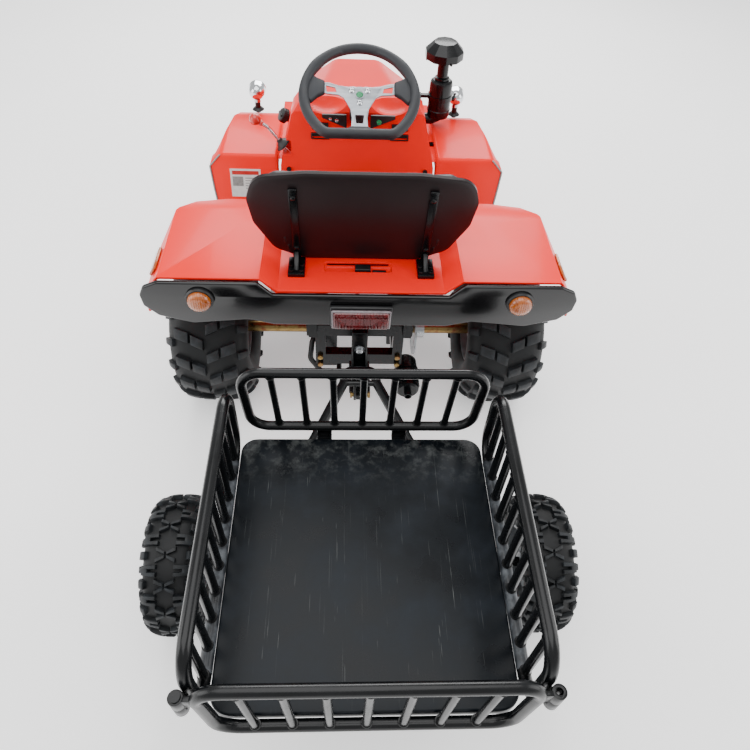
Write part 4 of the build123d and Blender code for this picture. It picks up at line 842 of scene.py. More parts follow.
# %% Seat brackets
brackets = []
for sign in (-1, 1):
    strap = round_edges(block((sign * 146 - 9, sign * 146 + 9), (0, 212), (12.3, 18)), 1.4, 2)
    strap_screws = [lathe([(18, 0.5), (18, 6), (20.5, 5.4), (22, 3), (22, 0.5)], (sign * 146, at, 0), 20, (0, 0, 1))
                    for at in (40, 190)]
    strap = join(strap, *strap_screws)
    strap.data.transform(back_place)
    foot = round_edges(block((sign * 146 - 19, sign * 146 + 19), (-140, -78), (495.2, 505)), 2, 2)
    rib = round_edges(prism([(-80, 504), (-128, 504), (-92, 530)], "X", (sign * 146 - 5, sign * 146 + 5)), 1, 2)
    bolts = [hexagon((sign * 146 + side, at, 505), (0, 0, 1), 10, 5) for side in (-11, 11) for at in (-130, -112)]
    brackets += [strap, foot, rib, *bolts]
place(join(*brackets), "seat_brackets_made", powder_coat, "tractor", ["seat_brackets"])

# %% [markdown]
# The cushion and the back pad are vinyl over foam. Each starts a little small as a closed form, is
# remeshed, and is blown up by a cloth simulation that draws its sides in between the corners. The
# sewn channels are pressed in afterwards.


# %% Padding
def padding(piece, name, cap, seams, body="tractor"):
    """Swells a closed form by cloth pressure, caps how far it moves, and presses in its channels."""
    apply(piece, "REMESH", mode="VOXEL", voxel_size=0.006)
    rest = np.array([vertex.co for vertex in piece.data.vertices])
    cloth = piece.modifiers.new("Cloth", "CLOTH")
    cloth.settings.use_pressure = True
    cloth.settings.uniform_pressure_force = 4.0
    cloth.settings.effector_weights.gravity = 0.0
    cloth.settings.quality = 4
    scene = bpy.context.scene
    for step in range(1, 19):
        scene.frame_set(step)
    only(piece)
    bpy.ops.object.modifier_apply(modifier=cloth.name)
    scene.frame_set(1)
    moved = np.array([vertex.co for vertex in piece.data.vertices])
    shift = moved - rest
    size = np.linalg.norm(shift, axis=1, keepdims=True)
    moved = rest + shift * np.minimum(1.0, cap * MM / np.maximum(size, 1e-9))
    piece.data.vertices.foreach_set("co", moved.astype(np.float32).ravel())
    apply(piece, "SUBSURF", levels=1, render_levels=1)
    points = np.array([vertex.co for vertex in piece.data.vertices])
    points = seams(points)
    piece.data.vertices.foreach_set("co", points.astype(np.float32).ravel())
    place(piece, name, vinyl, body, angle=60)
    return piece


def groove(distance, width, depth):
    return depth * MM * np.exp(-(distance / (width * MM)) ** 2)


def cushion_seams(points):
    """Two channels run fore and aft and one runs across, on the top only."""
    top = np.clip((points[:, 2] - 0.540) / 0.012, 0, 1)
    x, y = points[:, 0], points[:, 1]
    press = np.maximum.reduce([groove(x - 0.07, 4, 6), groove(x + 0.07, 4, 6), groove(y - 0.05, 4, 5)])
    edge = np.maximum(np.abs(x) / 0.172, np.abs(y - 0.098) / 0.12)
    points[:, 2] -= press * top * (edge < 1.1)
    return points


def pad_seams(points):
    """Three channels run up the middle of the pad."""
    flat = (np.array(back_place.inverted()) @ np.c_[points, np.ones(len(points))].T).T
    front = np.clip((-flat[:, 2] - 0.022) / 0.012, 0, 1)
    press = np.maximum.reduce([groove(flat[:, 0] - 0.09, 4, 5), groove(flat[:, 0] + 0.09, 4, 5),
                               groove(flat[:, 0], 4, 5)]) * (flat[:, 1] < 0.2)
    flat[:, 2] += press * front
    return (np.array(back_place) @ flat.T).T[:, :3]


cushion = prism([(point.x, point.y) for point in rounded([(-164, -14, 0), (164, -14, 0), (164, 210, 0),
                                                          (-164, 210, 0)], 34, 6, True)], "Z", (513, 551))
round_edges(cushion, 9, 3)
padding(cushion, "seat_cushion_made", 7, cushion_seams)
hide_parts("seat_cushion")
pad = prism(back_outline(24, 40), "Z", (-34, -4))
round_edges(pad, 8, 3)
pad.data.transform(back_place)
pad = combine(pad, block((-300, 300), (-210, 230), (400, 560)))
padding(pad, "seat_back_pad_made", 6, pad_seams)
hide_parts("seat_back_pad")

# %% [markdown]
# The console stands behind the bonnet and carries the column. Its top is dished on each side of a
# raised middle, and black louvres and switches fill the face under the wheel.

# %% Console
console_front = both_ways([(170, 574), (190, 548), (230, 392), (236, 268)])
console_side = [(489, 268), (503, 556), (519, 574), (600, 568), (600, 268)]
console_cuts = [ball((sign * 92, 520, 598), (68, 62, 50)) for sign in (-1, 1)]
console_cuts.append(bar((0, 450 - 0.438 * -60, 633 + 0.899 * -60), (0, 568, 391), 18))
console_cuts.append(round_edges(block((-262, -196), (494, 546), (424, 470)), 6, 3))
console = moulding(console_front, console_side, (-300, 300), (460, 600),
                   lambda c, n: n.z < -0.9 or (n.y > 0.9 and c.y > 590), 9, cutters=console_cuts)
place(console, "console_moulding", red_abs, "tractor", ["console_shell"])
column_collar = lathe([(-92, 10), (-92, 26), (-70, 26), (-66, 23), (-52, 17), (-52, 10)], (0, 0, 0), 40, (0, 0, 1))
column_tilt = Vector((0, -math.cos(math.radians(64)), math.sin(math.radians(64))))
wheel_place = Matrix(((1, 0, 0, 0), (0, column_tilt.z, column_tilt.y, 450 * MM),
                      (0, -column_tilt.y, column_tilt.z, 633 * MM), (0, 0, 0, 1)))
column_collar.data.transform(wheel_place)
louvres = []
for at in (-110, 120):
    for row, (half, high) in enumerate(((27, 476), (24, 506))):
        frame_plate = combine(round_edges(block((at - half, at + half), (496, 507), (high, high + 20)), 2.5, 2),
                              block((at - half + 4, at + half - 4), (480, 520), (high + 4, high + 16)))
        slat = round_edges(block((at - half + 2, at + half - 2), (-3.5, 3.5), (-4.5, 4.5)), 1.2, 2)
        louvres.append(frame_plate)
        slat.data.transform(Matrix.Translation(Vector((0, 502, high + 10)) * MM)
                            @ Matrix.Translation(Vector((at, 0, 0)) * MM) @ Matrix.Rotation(0.5, 4, "X")
                            @ Matrix.Translation(Vector((-at, 0, 0)) * MM))
        louvres.append(slat)
for sign in (-1, 1):
    switch = prism([(sign * 34, 516), (sign * 104, 546), (sign * 104, 556), (sign * 34, 556)], "Y", (488, 497))
    louvres.append(round_edges(switch, 2, 2))
    louvres.append(bar((sign * 206, 490, 380), (sign * 206, 497, 380), 7, 24))
place(join(column_collar, *louvres), "dash_fittings", satin_black, "tractor", ["dash_panel"])
caps = [bar((-62, 484, 541), (-62, 489, 541), 6, 24), bar((-80, 484, 545), (-80, 489, 545), 5, 24)]
place(round_edges(join(*caps), 1, 2), "dash_buttons", chrome_plate, "tractor")
place(round_edges(bar((58, 483, 538), (58, 489, 538), 7, 24), 1.2, 2), "start_button", green_button, "tractor")
lever_boot = lathe([(0, 6), (0, 25), (4, 24), (7, 18), (12, 15), (15, 10), (22, 8), (22, 6)], (0, 0, 0), 32, (0, 0, 1))
lever_boot.data.transform(Matrix.Translation(Vector((-219, 520, 444)) * MM) @ Matrix.Rotation(-0.75, 4, "Y"))
place(lever_boot, "lever_boot", hose_rubber, "tractor")

# %% [markdown]
# The bonnet narrows and falls towards the nose, so its prism's far end is moved to a smaller outline
# before the skin is opened and rounded.

# %% Bonnet
hood_rear = [(198, 300), (198, 496), (112, 562), (-112, 562), (-198, 496), (-198, 300)]
hood_nose = [(167, 300), (167, 448), (70, 515), (-70, 515), (-167, 448), (-167, 300)]
hood = prism(hood_rear, "Y", (600.4, 961.9))
for vertex in hood.data.vertices:
    if vertex.co.y > 0.9:
        at = min(range(6), key=lambda i: abs(hood_rear[i][0] * MM - vertex.co.x)
                 + abs(hood_rear[i][1] * MM - vertex.co.z))
        vertex.co.x, vertex.co.z = hood_nose[at][0] * MM, hood_nose[at][1] * MM
drop_faces(hood, lambda c, n: n.z < -0.7 or n.y < -0.9)
hood = thicken(round_edges(fix_normals(hood), 16, 5), 3.5)
for sign in (-1, 1):
    for row in range(4):
        slit = round_edges(block((sign * 175 - 40, sign * 175 + 40), (790 + row * 26, 798 + row * 26),
                                  (352, 420)), 3, 2)
        combine(hood, slit)
place(hood, "bonnet_moulding", red_abs, "tractor", ["hood_shell"])
grille = combine(round_edges(prism([(150, 306), (150, 440), (64, 500), (-64, 500), (-150, 440), (-150, 306)], "Y",
                                   (962.3, 970)), 2.5, 2), block((-126, 126), (950, 980), (322, 436)))
bars = [round_edges(block((-128, 128), (963, 968.5), (328 + row * 17, 334 + row * 17)), 1.5, 2) for row in range(7)]


place(join(grille, *bars), "nose_grille", satin_black, "tractor", ["front_grille"])

# %% [markdown]
# Each front mudguard is a bent strip that hangs down behind its wheel. A grey edging follows its
# outer rear edge, and the left one carries a blank-lettered notice plate.

# %% Front mudguards
guard_front = [(240, 230), (240, 420), (408, 420), (444, 388), (428, 230)]
guard_side = [(468, 236), (500, 420), (740, 420), (806, 396), (878, 322), (862, 306), (792, 362), (738, 378),
              (540, 372), (494, 236)]


def under_guard(c, n):
    """The faces that look down or forwards under the mudguard."""
    return abs(n.x) < 0.5 and (n.z < -0.15 or (n.y > 0.5 and c.y < 560))


guard_cut = prism([(430, 540), (404, 690), (392, 770), (372, 960), (600, 960), (600, 540)], "Z", (200, 450))
guard_edge = prism([(460, 470), (446, 560), (600, 560), (600, 470)], "Z", (200, 450))
guard = moulding(guard_front, guard_side, (200, 480), (440, 900), under_guard, 12, cutters=[guard_cut, guard_edge])
edging = tube([(427, 469.5, 237), (436, 482, 312), (442, 494, 384), (409, 500, 418.5)], 2.6, 6, sides=3)
rivets = [bar((sign_x, 466.5, 250), (sign_x, 474, 250), 5, 20) for sign_x in (262, 404)]
for side in ("left", "right"):
    made = twin(guard) if side == "left" else guard
    place(made, f"front_mudguard_{side}", red_abs, "tractor", [f"front_fender_{side}"])
    trim = twin(edging) if side == "left" else edging
    place(trim, f"mudguard_edging_{side}", grey_film, "tractor")
    screws = [twin(rivet) if side == "left" else rivet for rivet in rivets]
    place(join(*screws), f"mudguard_screws_{side}", zinc_white, "tractor")

# %% [markdown]
# A notice is stuck to the rear face of the left mudguard. It is printed film, so it is made of thin
# layers laid on that sloping face, and it is left blank.

# %% Blank notice plate
PLATE_TILT = math.atan2(32, 184)
plate_place = Matrix.Translation(Vector((-338, 484.9, 334)) * MM) @ Matrix.Rotation(-PLATE_TILT, 4, "X")


def on_plate(x, z, proud, name, material):
    """A thin film of the notice, laid on the rear face of the left front mudguard."""
    film = round_edges(block(x, (-proud, 0.2), z), 0.15, 1)
    film.data.transform(plate_place)
    place(film, name, material, "tractor")


apron = round_edges(block((199, 242), (520, 880), (396, 400)), 1.5, 2)
for side in ("left", "right"):
    made = twin(apron) if side == "left" else apron
    place(made, f"inner_apron_{side}", red_abs, "tractor")
on_plate((-46, 46), (-44, 44), 0.5, "notice_film", white_film)
on_plate((-40, 40), (26, 38), 0.7, "notice_band", red_film)
on_plate((-40, -8), (-10, 20), 0.7, "notice_panel", grey_film)
for row in range(5):
    on_plate((-2, 38), (14 - row * 8, 17 - row * 8), 0.65, f"notice_rule_{row}", grey_film)

# %% [markdown]
# The exhaust stack is a canister with a bolted elbow, a narrow neck and a faceted rain cap.

# %% Stack
STACK = (257, 715, 0)
canister = lathe([(449, 0.5), (449, 33), (453, 35), (466, 35), (468, 36.5), (472, 36.5), (474, 35), (550, 35),
                  (558, 33), (563, 27), (563, 0.5)], STACK, 48, (0, 0, 1))
collar = lathe([(563, 0.5), (563, 22), (570, 22), (573, 17), (612, 17), (612, 0.5)], STACK, 40, (0, 0, 1))
cap = bar((255, 715, 629), (255, 715, 650), 58, 10, 58)
lower = bar((255, 715, 627), (255, 715, 629), 56, 10, 58)
top = bar((255, 715, 650), (255, 715, 674), 58, 10, 34)
cap = round_edges(fix_normals(join(lower, cap, top), 0.0004), 0.9, 2, 12)
cap_screws = [bar(*[(STACK[0] + reach * math.cos(t), STACK[1] + reach * math.sin(t), 628) for reach in (52, 58)],
                  3.4, 14) for t in (0.26, 1.83, 3.4, 4.97)]
elbow = tube([(257, 715, 460), (257, 715, 447), (236, 715, 437), (187, 715, 437)], 17, 10, sides=6)
flange = bar((196, 715, 437), (190, 715, 437), 27, 36)
side_strap = round_edges(block((196, 226), (708, 722), (506, 516)), 1.5, 2)
clamp_ring = lathe([(504, 34.5), (504, 38), (518, 38), (518, 34.5)], STACK, 44, (0, 0, 1))
strap_leg = round_edges(block((190.5, 198), (706, 724), (470, 518)), 1.5, 2)
place(join(canister, collar, cap, *cap_screws, elbow, flange, side_strap, clamp_ring, strap_leg), "exhaust_stack",
      powder_coat, "tractor", ["stack_body"])

# %% [markdown]
# The lever is a plated rod, bent twice, on a short pivot tube. Its knob is a turned ball. The fuel cap
# is a turned cap with grips. All three are lathe or bent-tube shapes, as they would be in a workshop.

# %% Shift lever, knob and fuel cap
lever = tube([(-150, 520, 360), (-222, 520, 446), (-262, 516, 500), (-296, 512, 525)], 5, 24, sides=5)
lever_foot = combine(bar((-164, 520, 360), (-136, 520, 360), 12, 28), bar((-180, 520, 360), (-120, 520, 360), 6.1, 24))
lever = combine(lever, bar((-180, 520, 360), (-120, 520, 360), 6.1, 24))
place(join(lever, lever_foot), "shift_lever_made", chrome_plate, "shift_lever", ["shift_lever"])
knob = lathe([(-17, 0.5), (-16.4, 5), (-13, 11), (-7, 15.6), (0, 17), (7, 15.6), (13, 11), (16.4, 5), (17, 0.5)],
             (0, 0, 0), 36, (0, 0, 1))
apply(knob, "SUBSURF", levels=1, render_levels=1)
ferrule = lathe([(-24, 5.2), (-24, 7.5), (-16, 8.5), (-14, 5.2)], (0, 0, 0), 28, (0, 0, 1))
knob = join(knob, ferrule)
knob.data.transform(Matrix.Translation(Vector((-296, 512, 525)) * MM)
                    @ Vector((-34, -4, 25)).to_track_quat("Z", "Y").to_matrix().to_4x4())
place(knob, "shift_knob_made", red_knob, "shift_lever", ["shift_knob"], angle=70)
filler_cap = bar((0, 0, 0.3), (0, 0, 20), 21, 48, 20)
round_edges(filler_cap, 2.5, 3)
ribs = [bar((20.4 * math.cos(t), 20.4 * math.sin(t), 2), (19.8 * math.cos(t), 19.8 * math.sin(t), 16), 1.3, 8)
        for t in [i * math.pi / 12 for i in range(24)]]
grip_bar = round_edges(block((-15, 15), (-3.5, 3.5), (18, 24)), 1.5, 2)
filler_cap = join(filler_cap, *ribs, grip_bar)
filler_cap.data.transform(Matrix.Translation(Vector((-215, 618, 480)) * MM)
                          @ Vector((-75, -22, 50)).to_track_quat("Z", "Y").to_matrix().to_4x4())
place(filler_cap, "fuel_cap_made", satin_black, "fuel_cap", ["fuel_cap"])

# %% [markdown]
# The steering wheel is built flat, in its own plane, and then laid on the column. The grip is a
# tube along a circle with a flattened foot, thicker where the hands rest, and the spokes are one
# sheet of brushed plate with a window in each arm.

# %% Steering wheel
grip_line = []
for i in range(56):
    turn = math.radians(-47.85 + 275.7 * i / 55)
    grip_line.append((150 * math.cos(turn), 150 * math.sin(turn), 0))
for centre_x, first in ((-77.85, 227.85), (77.85, 270.0)):
    for i in range(1, 8):
        turn = math.radians(first + 42.15 * i / 8)
        grip_line.append((centre_x + 34 * math.cos(turn), -86 + 34 * math.sin(turn), 0))
    if centre_x < 0:
        grip_line += [(-77.85, -120, 0), (-30, -120, 0), (30, -120, 0), (77.85, -120, 0)]


def hand_swell(point):
    """The grip is thicker at the upper hand rests and beside the lower spoke."""
    turn = math.atan2(point[1], abs(point[0]))
    return 1.0 + 0.10 * math.exp(-((turn - 0.66) / 0.16) ** 2) + 0.07 * math.exp(-((turn + 0.1) / 0.2) ** 2)


grip = tube(grip_line, 14, closed=True, sides=7, scales=[hand_swell(point) for point in grip_line])
seams = []
for sign in (-1, 1):
    for start in (0.28, 0.78):
        arc = [(sign * 139.5 * math.cos(start + 0.42 * i / 8), 139.5 * math.sin(start + 0.42 * i / 8), 7.5)
               for i in range(9)]
        seams.append(tube(arc, 3.4, sides=3))
grip = join(grip, *seams)
apply(grip, "REMESH", mode="VOXEL", voxel_size=0.0022)
apply(grip, "SMOOTH", factor=0.5, iterations=4)
grip.data.transform(wheel_place)
place(grip, "wheel_grip", grip_foam, "steering_wheel", ["steering_rim"], angle=60)
spoke_half = [(0, 24), (16, 27), (34, 26), (56, 29), (84, 38), (100, 38), (100, 6), (84, 2), (58, 0), (44, -8),
              (34, -26), (25, -44), (21, -70), (23, -106), (0, -106)]
spoke_outline = [(-a, b) for a, b in reversed(spoke_half[1:-1])] + spoke_half
plate = prism(spoke_outline, "Z", (-4, 0))
windows = [prism([(sign * a, b) for a, b in ((62, 8), (88, 8), (91, 28), (66, 22))], "Z", (-10, 10))
           for sign in (-1, 1)]
windows.append(prism([(-9, -88), (9, -88), (12, -62), (-12, -62)], "Z", (-10, 10)))
for window in windows:
    combine(plate, window)
round_edges(plate, 0.8, 2)
boss = lathe([(-46, 10), (-46, 24), (-8, 30), (-4, 30), (-4, 10)], (0, 0, 0), 40, (0, 0, 1))
dish = lathe([(0, 0.5), (0, 13), (1.6, 13), (2.4, 12), (2.4, 10.6), (1.2, 10), (1.2, 0.5)], (0, 0, 0), 44, (0, 0, 1))
plate = join(plate, boss, dish)
plate.data.transform(wheel_place)
place(plate, "wheel_spokes", spoke_plate, "steering_wheel", ["steering_spokes"])
socket_screws = []
for turn in (30, 150, 270):
    x, y = 25 * math.cos(math.radians(turn)), 25 * math.sin(math.radians(turn))
    head = lathe([(0, 0.5), (0, 8), (1.5, 8), (4.6, 5.6), (5.4, 3.6), (5.4, 0.5)], (x, y, 0), 28, (0, 0, 1))
    combine(head, bar((x, y, 2), (x, y, 9), 3.0, 6))
    socket_screws.append(head)
heads = join(*socket_screws)
heads.data.transform(wheel_place)
place(heads, "wheel_screws", chrome_plate, "steering_wheel")
plug = lathe([(1.2, 0.5), (1.2, 9.4), (3.2, 8.6), (3.8, 7), (3.0, 6), (3.0, 0.5)], (0, 0, 0), 36, (0, 0, 1))
plug.data.transform(wheel_place)
place(plug, "wheel_plug", green_button, "steering_wheel")
ends = []
for sign in (-1, 1):
    wedge = prism([(sign * a, b) for a, b in ((94, 4), (94, 40), (112, 48), (134, 62), (146, 40), (146, -4), (132, -26),
                                              (112, -6))], "Z", (-10, 6))
    ends.append(round_edges(wedge, 4, 3))
foot_wedge = prism([(-22, -100), (22, -100), (40, -112), (58, -122), (-58, -122), (-40, -112)], "Z", (-10, 6))
ends.append(round_edges(foot_wedge, 3, 3))
ends = join(*ends)
ends.data.transform(wheel_place)
place(ends, "grip_spoke_sockets", grip_foam, "steering_wheel")

# %% [markdown]
# The trailer's sides are closed loops of steel tube with upright bars, and each joint has a small
# bead of weld. A bead is modelled once as a ring and copied to every joint.


# %% Weld beads
def beads(spots, radius, turned=None):
    """Rings of weld round a bar's end, one at each spot."""
    only()
    bpy.ops.mesh.primitive_torus_add(major_radius=(radius + 0.6) * MM, minor_radius=1.7 * MM, major_segments=14,
                                     minor_segments=6)
    ring = settle(bpy.context.object)
    made = []
    for spot in spots:
        only(ring)
        bpy.ops.object.duplicate()
        copy = bpy.context.object
        if turned:
            copy.data.transform(turned)
        copy.data.transform(Matrix.Translation(Vector(spot) * MM))
        made.append(copy)
    bpy.data.objects.remove(ring)
    return made


def knuckle(x, y, z):
    """A short hinge tube, open down its middle, with eased ends."""
    return round_edges(combine(bar((x, y, z[0]), (x, y, z[1]), 11, 36),
                               bar((x, y, z[0] - 5), (x, y, z[1] + 5), 5.05, 28)), 1.0, 2, 50)


# %% [markdown]
# Each side of the trailer is one bent tube with upright bars welded into it, and a hinge tube at the
# rear. One side is made with its weld beads, and the other is its mirror image.

# %% Side racks
RACK_X = 255.5
KNUCKLE_X, KNUCKLE_Y = 266, -1006
bar_ys = [-534 - i * 45.44 for i in range(10)]
loop = tube([(RACK_X, -492, 355), (RACK_X, -492, 528), (RACK_X, -985, 528), (RACK_X, -985, 355)], 11, 48, True, 7)
uprights = [bar((RACK_X, y, 356), (RACK_X, y, 527), 8, 24) for y in bar_ys]
welds = beads([(RACK_X, y, z) for y in bar_ys for z in (367, 516)], 8)
lug = round_edges(block((258.5, 266), (-1002, -991), (432, 459.7)), 1, 2)
side_rack = join(loop, *uprights, *welds, lug, knuckle(KNUCKLE_X, KNUCKLE_Y, (432, 459.7)))
for side in ("left", "right"):
    made = twin(side_rack) if side == "left" else side_rack
    place(made, f"side_rack_{side}_made", powder_coat, "trailer", [f"side_rack_{side}"])


# %% [markdown]
# The front rack and the tailgate are closed loops of the same tube. One function makes both, because
# they differ only in size, in how far they narrow at the foot, and in the count of bars.

# %% Front rack and tailgate
def end_rack(y, top_half, low_half, z, bars, tube_radius, bar_radius):
    """A rounded end loop, a little narrower at its foot, with upright bars and their welds."""
    pieces = [tube([(-low_half, y, z[0]), (-top_half, y, z[1]), (top_half, y, z[1]), (low_half, y, z[0])], tube_radius,
                   40, True, 7)]
    spots = []
    for i in range(bars):
        foot = -low_half + (i + 1) * 2 * low_half / (bars + 1)
        head = foot * top_half / low_half
        pieces.append(bar((foot, y, z[0] + 1), (head, y, z[1] - 1), bar_radius, 22))
        spots += [(foot, y, z[0] + tube_radius + 1), (head, y, z[1] - tube_radius - 1)]
    return pieces + beads(spots, bar_radius)


feet = []
for sign in (-1, 1):
    feet.append(round_edges(block((sign * 77 - 15, sign * 77 + 15), (-480.8, -462), (343, 350)), 1.5, 2))
    feet.append(round_edges(block((sign * 77 - 15, sign * 77 + 15), (-470, -462), (343, 380)), 1.5, 2))
    feet.append(hexagon((sign * 77, -462, 362), (0, 1, 0), 10, 4))
place(join(*end_rack(-466, 236, 224, (379, 542), 7, 10, 7), *feet), "front_rack_made", powder_coat, "trailer",
      ["front_rack"])
gate_knuckles = []
for sign in (-1, 1):
    gate_knuckles.append(knuckle(sign * KNUCKLE_X, KNUCKLE_Y, (460, 488)))
    gate_knuckles.append(round_edges(block(sorted((sign * 235, sign * 258)), (-1012, -1004), (460, 488)), 1, 2))
place(join(*end_rack(-1009, 241, 227, (337, 522), 7, 10, 7), *gate_knuckles), "tailgate_made", powder_coat, "tailgate",
      ["tailgate"])

# %% [markdown]
# The trailer's floor is one sheet with rounded corners and a folded edge.

# %% Tray
tray_line = [(point.x, point.y) for point in rounded([(-244.5, -997, 0), (244.5, -997, 0), (244.5, -481, 0),
                                                      (-244.5, -481, 0)], 32, 8, True)]
tray = prism(tray_line, "Z", (334, 355))
drop_faces(tray, lambda c, n: n.z < -0.9)
tray = thicken(round_edges(fix_normals(tray), 3.5, 4), 2.5)
place(tray, "cargo_tray_made", tray_enamel, "trailer", ["cargo_tray"])
# A lighter grey coat laid over the bottom of each side loop is partly rubbed paint and partly a painted highlight along
# the rail.
side_strips = [tube([(sign * RACK_X, y, 355) for y in (-540, -700, -938)], 11.25, sides=7)
               for sign in (-1, 1)]
place(join(*side_strips), "highlit_rubbed_lower_rails", rubbed_and_highlit_coat, "trailer")

# %% [markdown]
# The drawbar is two bent tubes that meet in an arch over the coupler. It, the hitch post and the
# carrier are rebuilt with bolts and eased edges.

# %% Drawbar
legs = [tube([(0, -266, 323), (sign * 32, -266, 323), (sign * 38, -304, 323), (sign * 158, -606, 323)], 10.8, 18,
             sides=6)
        for sign in (-1, 1)]
bridge = bar((-40, -304, 323), (40, -304, 323), 7, 24)
ears = [round_edges(combine(block(sorted((sign * 9.3, sign * 15)), (-312, -292), (270, 322)),
                            bar((-20, -302, 279.8), (20, -302, 279.8), 5.05, 24)), 1.2, 2) for sign in (-1, 1)]
bolt = join(bar((-18, -302, 279.8), (18, -302, 279.8), 5, 24), hexagon((18, -302, 279.8), (1, 0, 0), 14, 6),
            hexagon((-18, -302, 279.8), (-1, 0, 0), 14, 5))
place(join(*legs, bridge, *ears), "drawbar_made", powder_coat, "trailer", ["drawbar"])
place(bolt, "drawbar_bolt", zinc_gold, "trailer")

# %% [markdown]
# The post is square bar welded to the frame, with a drilled tongue for the pin and two gussets that
# stiffen the corner. The bright fixings are turned and plated, so they are a piece of their own.

# %% Hitch post and pin
post = round_edges(block((-19, 19), (-187.5, -162.5), (262, 367.5)), 2.5, 3)
tongue = combine(round_edges(block((-25, 25), (-285, -187), (262, 272)), 2, 2),
                 bar((0, -255, 200), (0, -255, 400), 8.05, 28))
gussets = [round_edges(prism([(-187, 272), (-225, 272), (-187, 306)], "X", (sign * 17 - 2.5, sign * 17 + 2.5)), 0.8, 2)
           for sign in (-1, 1)]
place(join(post, tongue, *gussets), "hitch_post_made", powder_coat, "tractor", ["hitch_post"])
washer = lathe([(-189.5, 0.5), (-189.5, 13), (-187.6, 13), (-187.6, 0.5)], (0, 0, 312), 30, (0, 1, 0))
dome_nut = lathe([(-200, 0.5), (-199, 5), (-196, 8), (-189.5, 8.6), (-189.5, 0.5)], (0, 0, 312), 30, (0, 1, 0))
pin_head = lathe([(288, 0.5), (288, 13), (294, 13), (297, 10), (297, 0.5)], (0, -255, 0), 30, (0, 0, 1))
pin_shank = bar((0, -255, 248), (0, -255, 288), 7.9, 28)
place(join(washer, dome_nut, pin_head, pin_shank), "hitch_fixings", zinc_white, "tractor", ["hitch_pin"])
ring_turns = [i * math.pi / 12 for i in range(24)]
pull_ring = tube([(13 * math.cos(t), -255 + 13 * math.sin(t), 299.5) for t in ring_turns], 1.7, closed=True, sides=3)
place(pull_ring, "pin_pull_ring", zinc_gold, "tractor")

# %% [markdown]
# The carrier box and the parts round the live axle are seen under the valance: a formed breather
# pipe, brake pipe, chain round the sprocket, nuts and a clamp.

# %% Under the tail
carrier_left = combine(round_edges(block((-113, -56), (-48, 48), (96, 232)), 4, 3),
                       bar((-200, 0, 203), (200, 0, 203), 15.4, 32))
carrier_right = combine(round_edges(block((78, 110), (-34, 34), (169, 232)), 3, 3),
                        bar((-200, 0, 203), (200, 0, 203), 15.4, 32))
cover_ring = lathe([(-119, 17), (-119, 36), (-113, 38), (-113, 17)], (0, 0, 203), 40)
cover_bolts = [hexagon((-113, 28 * math.cos(t), 203 + 28 * math.sin(t)), (-1, 0, 0), 10, 6)
               for t in (0.8, 2.36, 3.9, 5.5)]
caliper_body = combine(round_edges(block((134, 171), (30, 72), (225, 277)), 4, 3),
                       block((149, 156), (20, 80), (200, 300)))
caliper_arm = round_edges(block((107.5, 171), (72, 80), (243, 265)), 1.5, 2)
place(join(carrier_left, carrier_right, cover_ring, *cover_bolts, caliper_body, caliper_arm), "axle_carrier_made",
      powder_coat, "tractor", ["axle_carrier"])
breather = tube([(-90, -40, 232), (-90, -70, 262), (-118, -104, 262), (-124, -128, 214), (-86, -140, 160),
                 (-60, -128, 132), (-50, -96, 130), (-50, -46, 130)], 7, 20, sides=5)
brake_pipe = tube([(152, 60, 276), (152, 40, 300), (140, -30, 300), (124, -80, 292), (110, -88, 276)], 3, 14, sides=4)
place(join(breather, brake_pipe), "breather_and_brake_pipes", hose_rubber, "tractor")
MUFFLER_AXIS = (128, 0, 165)
muffler_body = lathe([(-196, 0.5), (-196, 24), (-192, 29), (-186, 30), (-100, 30), (-92, 29), (-84, 22), (-84, 0.5)],
                     MUFFLER_AXIS, 44, (0, 1, 0))
tail_pipe = lathe([(-214, 7), (-214, 9.5), (-196, 9.5), (-196, 7)], MUFFLER_AXIS, 30, (0, 1, 0))
bands = [lathe([(at, 29), (at, 32.5), (at + 12, 32.5), (at + 12, 29)], MUFFLER_AXIS, 44, (0, 1, 0))
         for at in (-136, -180)]
strap = round_edges(block((98, 106), (-136, -124), (176, 232)), 1, 2)
place(join(muffler_body, tail_pipe, *bands, strap), "muffler_made", powder_coat, "tractor", ["muffler"])
nuts = [hexagon(spot, (0, -1, 0), 13, 8) for spot in ((96, -163, 262), (96, -163, 236), (-96, -163, 262),
                                                      (-96, -163, 236))]
place(join(*nuts), "frame_nuts", zinc_gold, "tractor")

# %% [markdown]
# The drive chain runs half way round the axle sprocket. One link is made and copied round the arc,
# each copy turned to follow it.

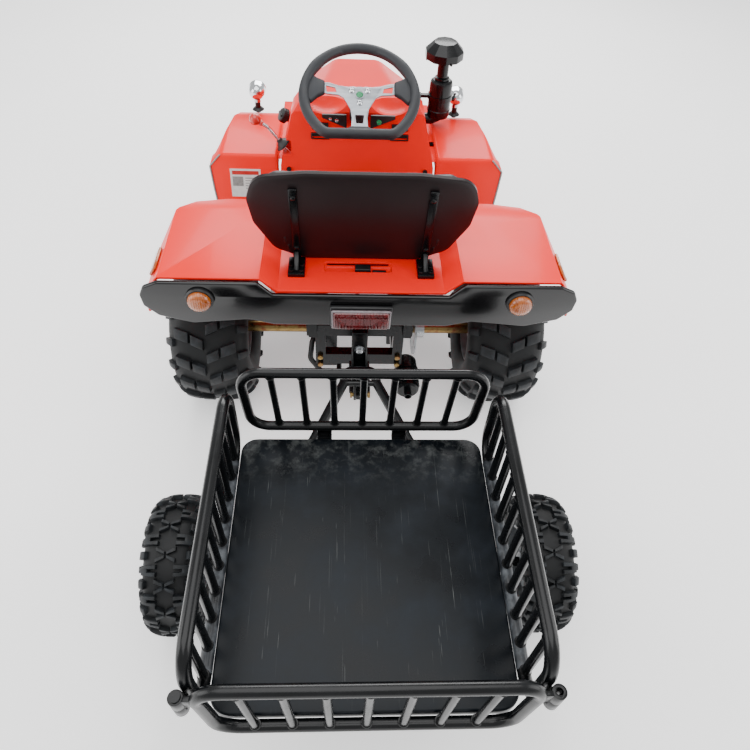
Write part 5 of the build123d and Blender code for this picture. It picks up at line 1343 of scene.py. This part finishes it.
# %% Chain
link = round_edges(block((-4, 4), (-5, 5), (-3.4, 3.4)), 1.2, 1)
chain = []
for i in range(34):
    turn = math.pi * (0.5 + i / 33)
    only(link)
    bpy.ops.object.duplicate()
    copy = bpy.context.object
    copy.data.transform(Matrix.Translation(Vector((0, 70 * math.cos(turn), 203 + 70 * math.sin(turn))) * MM)
                        @ Matrix.Rotation(turn + math.pi / 2, 4, "X"))
    chain.append(copy)
for i in range(1, 15):
    for high in (-1, 1):
        only(link)
        bpy.ops.object.duplicate()
        copy = bpy.context.object
        copy.data.transform(Matrix.Translation(Vector((0, i * 13.0, 203 + high * (70 - i * 1.6))) * MM))
        chain.append(copy)
bpy.data.objects.remove(link)
place(join(*chain), "drive_chain", zinc_white, "tractor")

# %% [markdown]
# What is left of the fixed frame keeps its own shape and gets its real finish.

# %% Finishes for the frame's own pieces
own_finish = {"chassis_frame": powder_coat, "axle_carrier": powder_coat, "engine": cast_alloy,
              "footboards": powder_coat,
              "front_axle_beam": powder_coat, "fuel_tank": satin_black, "hitch_pin": zinc_white, "muffler": powder_coat,
              "rear_axle_shaft": zinc_gold, "axle_discs": zinc_white, "steering_shaft": powder_coat,
              "steering_knuckle_left": powder_coat, "steering_knuckle_right": powder_coat, "tie_rod": zinc_gold,
              "brake_pedal": powder_coat, "throttle_pedal": powder_coat, "hitch_coupler": powder_coat,
              "hitch_post": powder_coat, "drawbar": powder_coat, "trailer_chassis": powder_coat,
              "front_bumper": powder_coat, "dash_panel": satin_black, "front_grille": satin_black,
              "seat_brackets": powder_coat, "fuel_cap": satin_black, "shift_lever": chrome_plate,
              "shift_knob": red_knob, "headlamp_heads": chrome_plate, "stack_body": powder_coat,
              "lamp_bodies": satin_black, "amber_lenses": amber_lens, "tail_lamp_lens": red_lens,
              "seat_base_shell": seat_shell, "seat_back_shell": seat_shell, "seat_back_pad": vinyl,
              "seat_cushion": vinyl, "steering_rim": grip_foam, "steering_spokes": spoke_plate,
              "rear_fender_shell": red_abs, "rear_valance": gloss_black, "console_shell": red_abs,
              "hood_shell": red_abs, "front_fender_left": red_abs, "front_fender_right": red_abs,
              "side_rack_left": powder_coat, "side_rack_right": powder_coat, "front_rack": powder_coat,
              "tailgate": powder_coat, "cargo_tray": tray_enamel}
for name, node in nodes.items():
    if not node.hide_render:
        node.data.materials.clear()
        node.data.materials.append(own_finish[name])
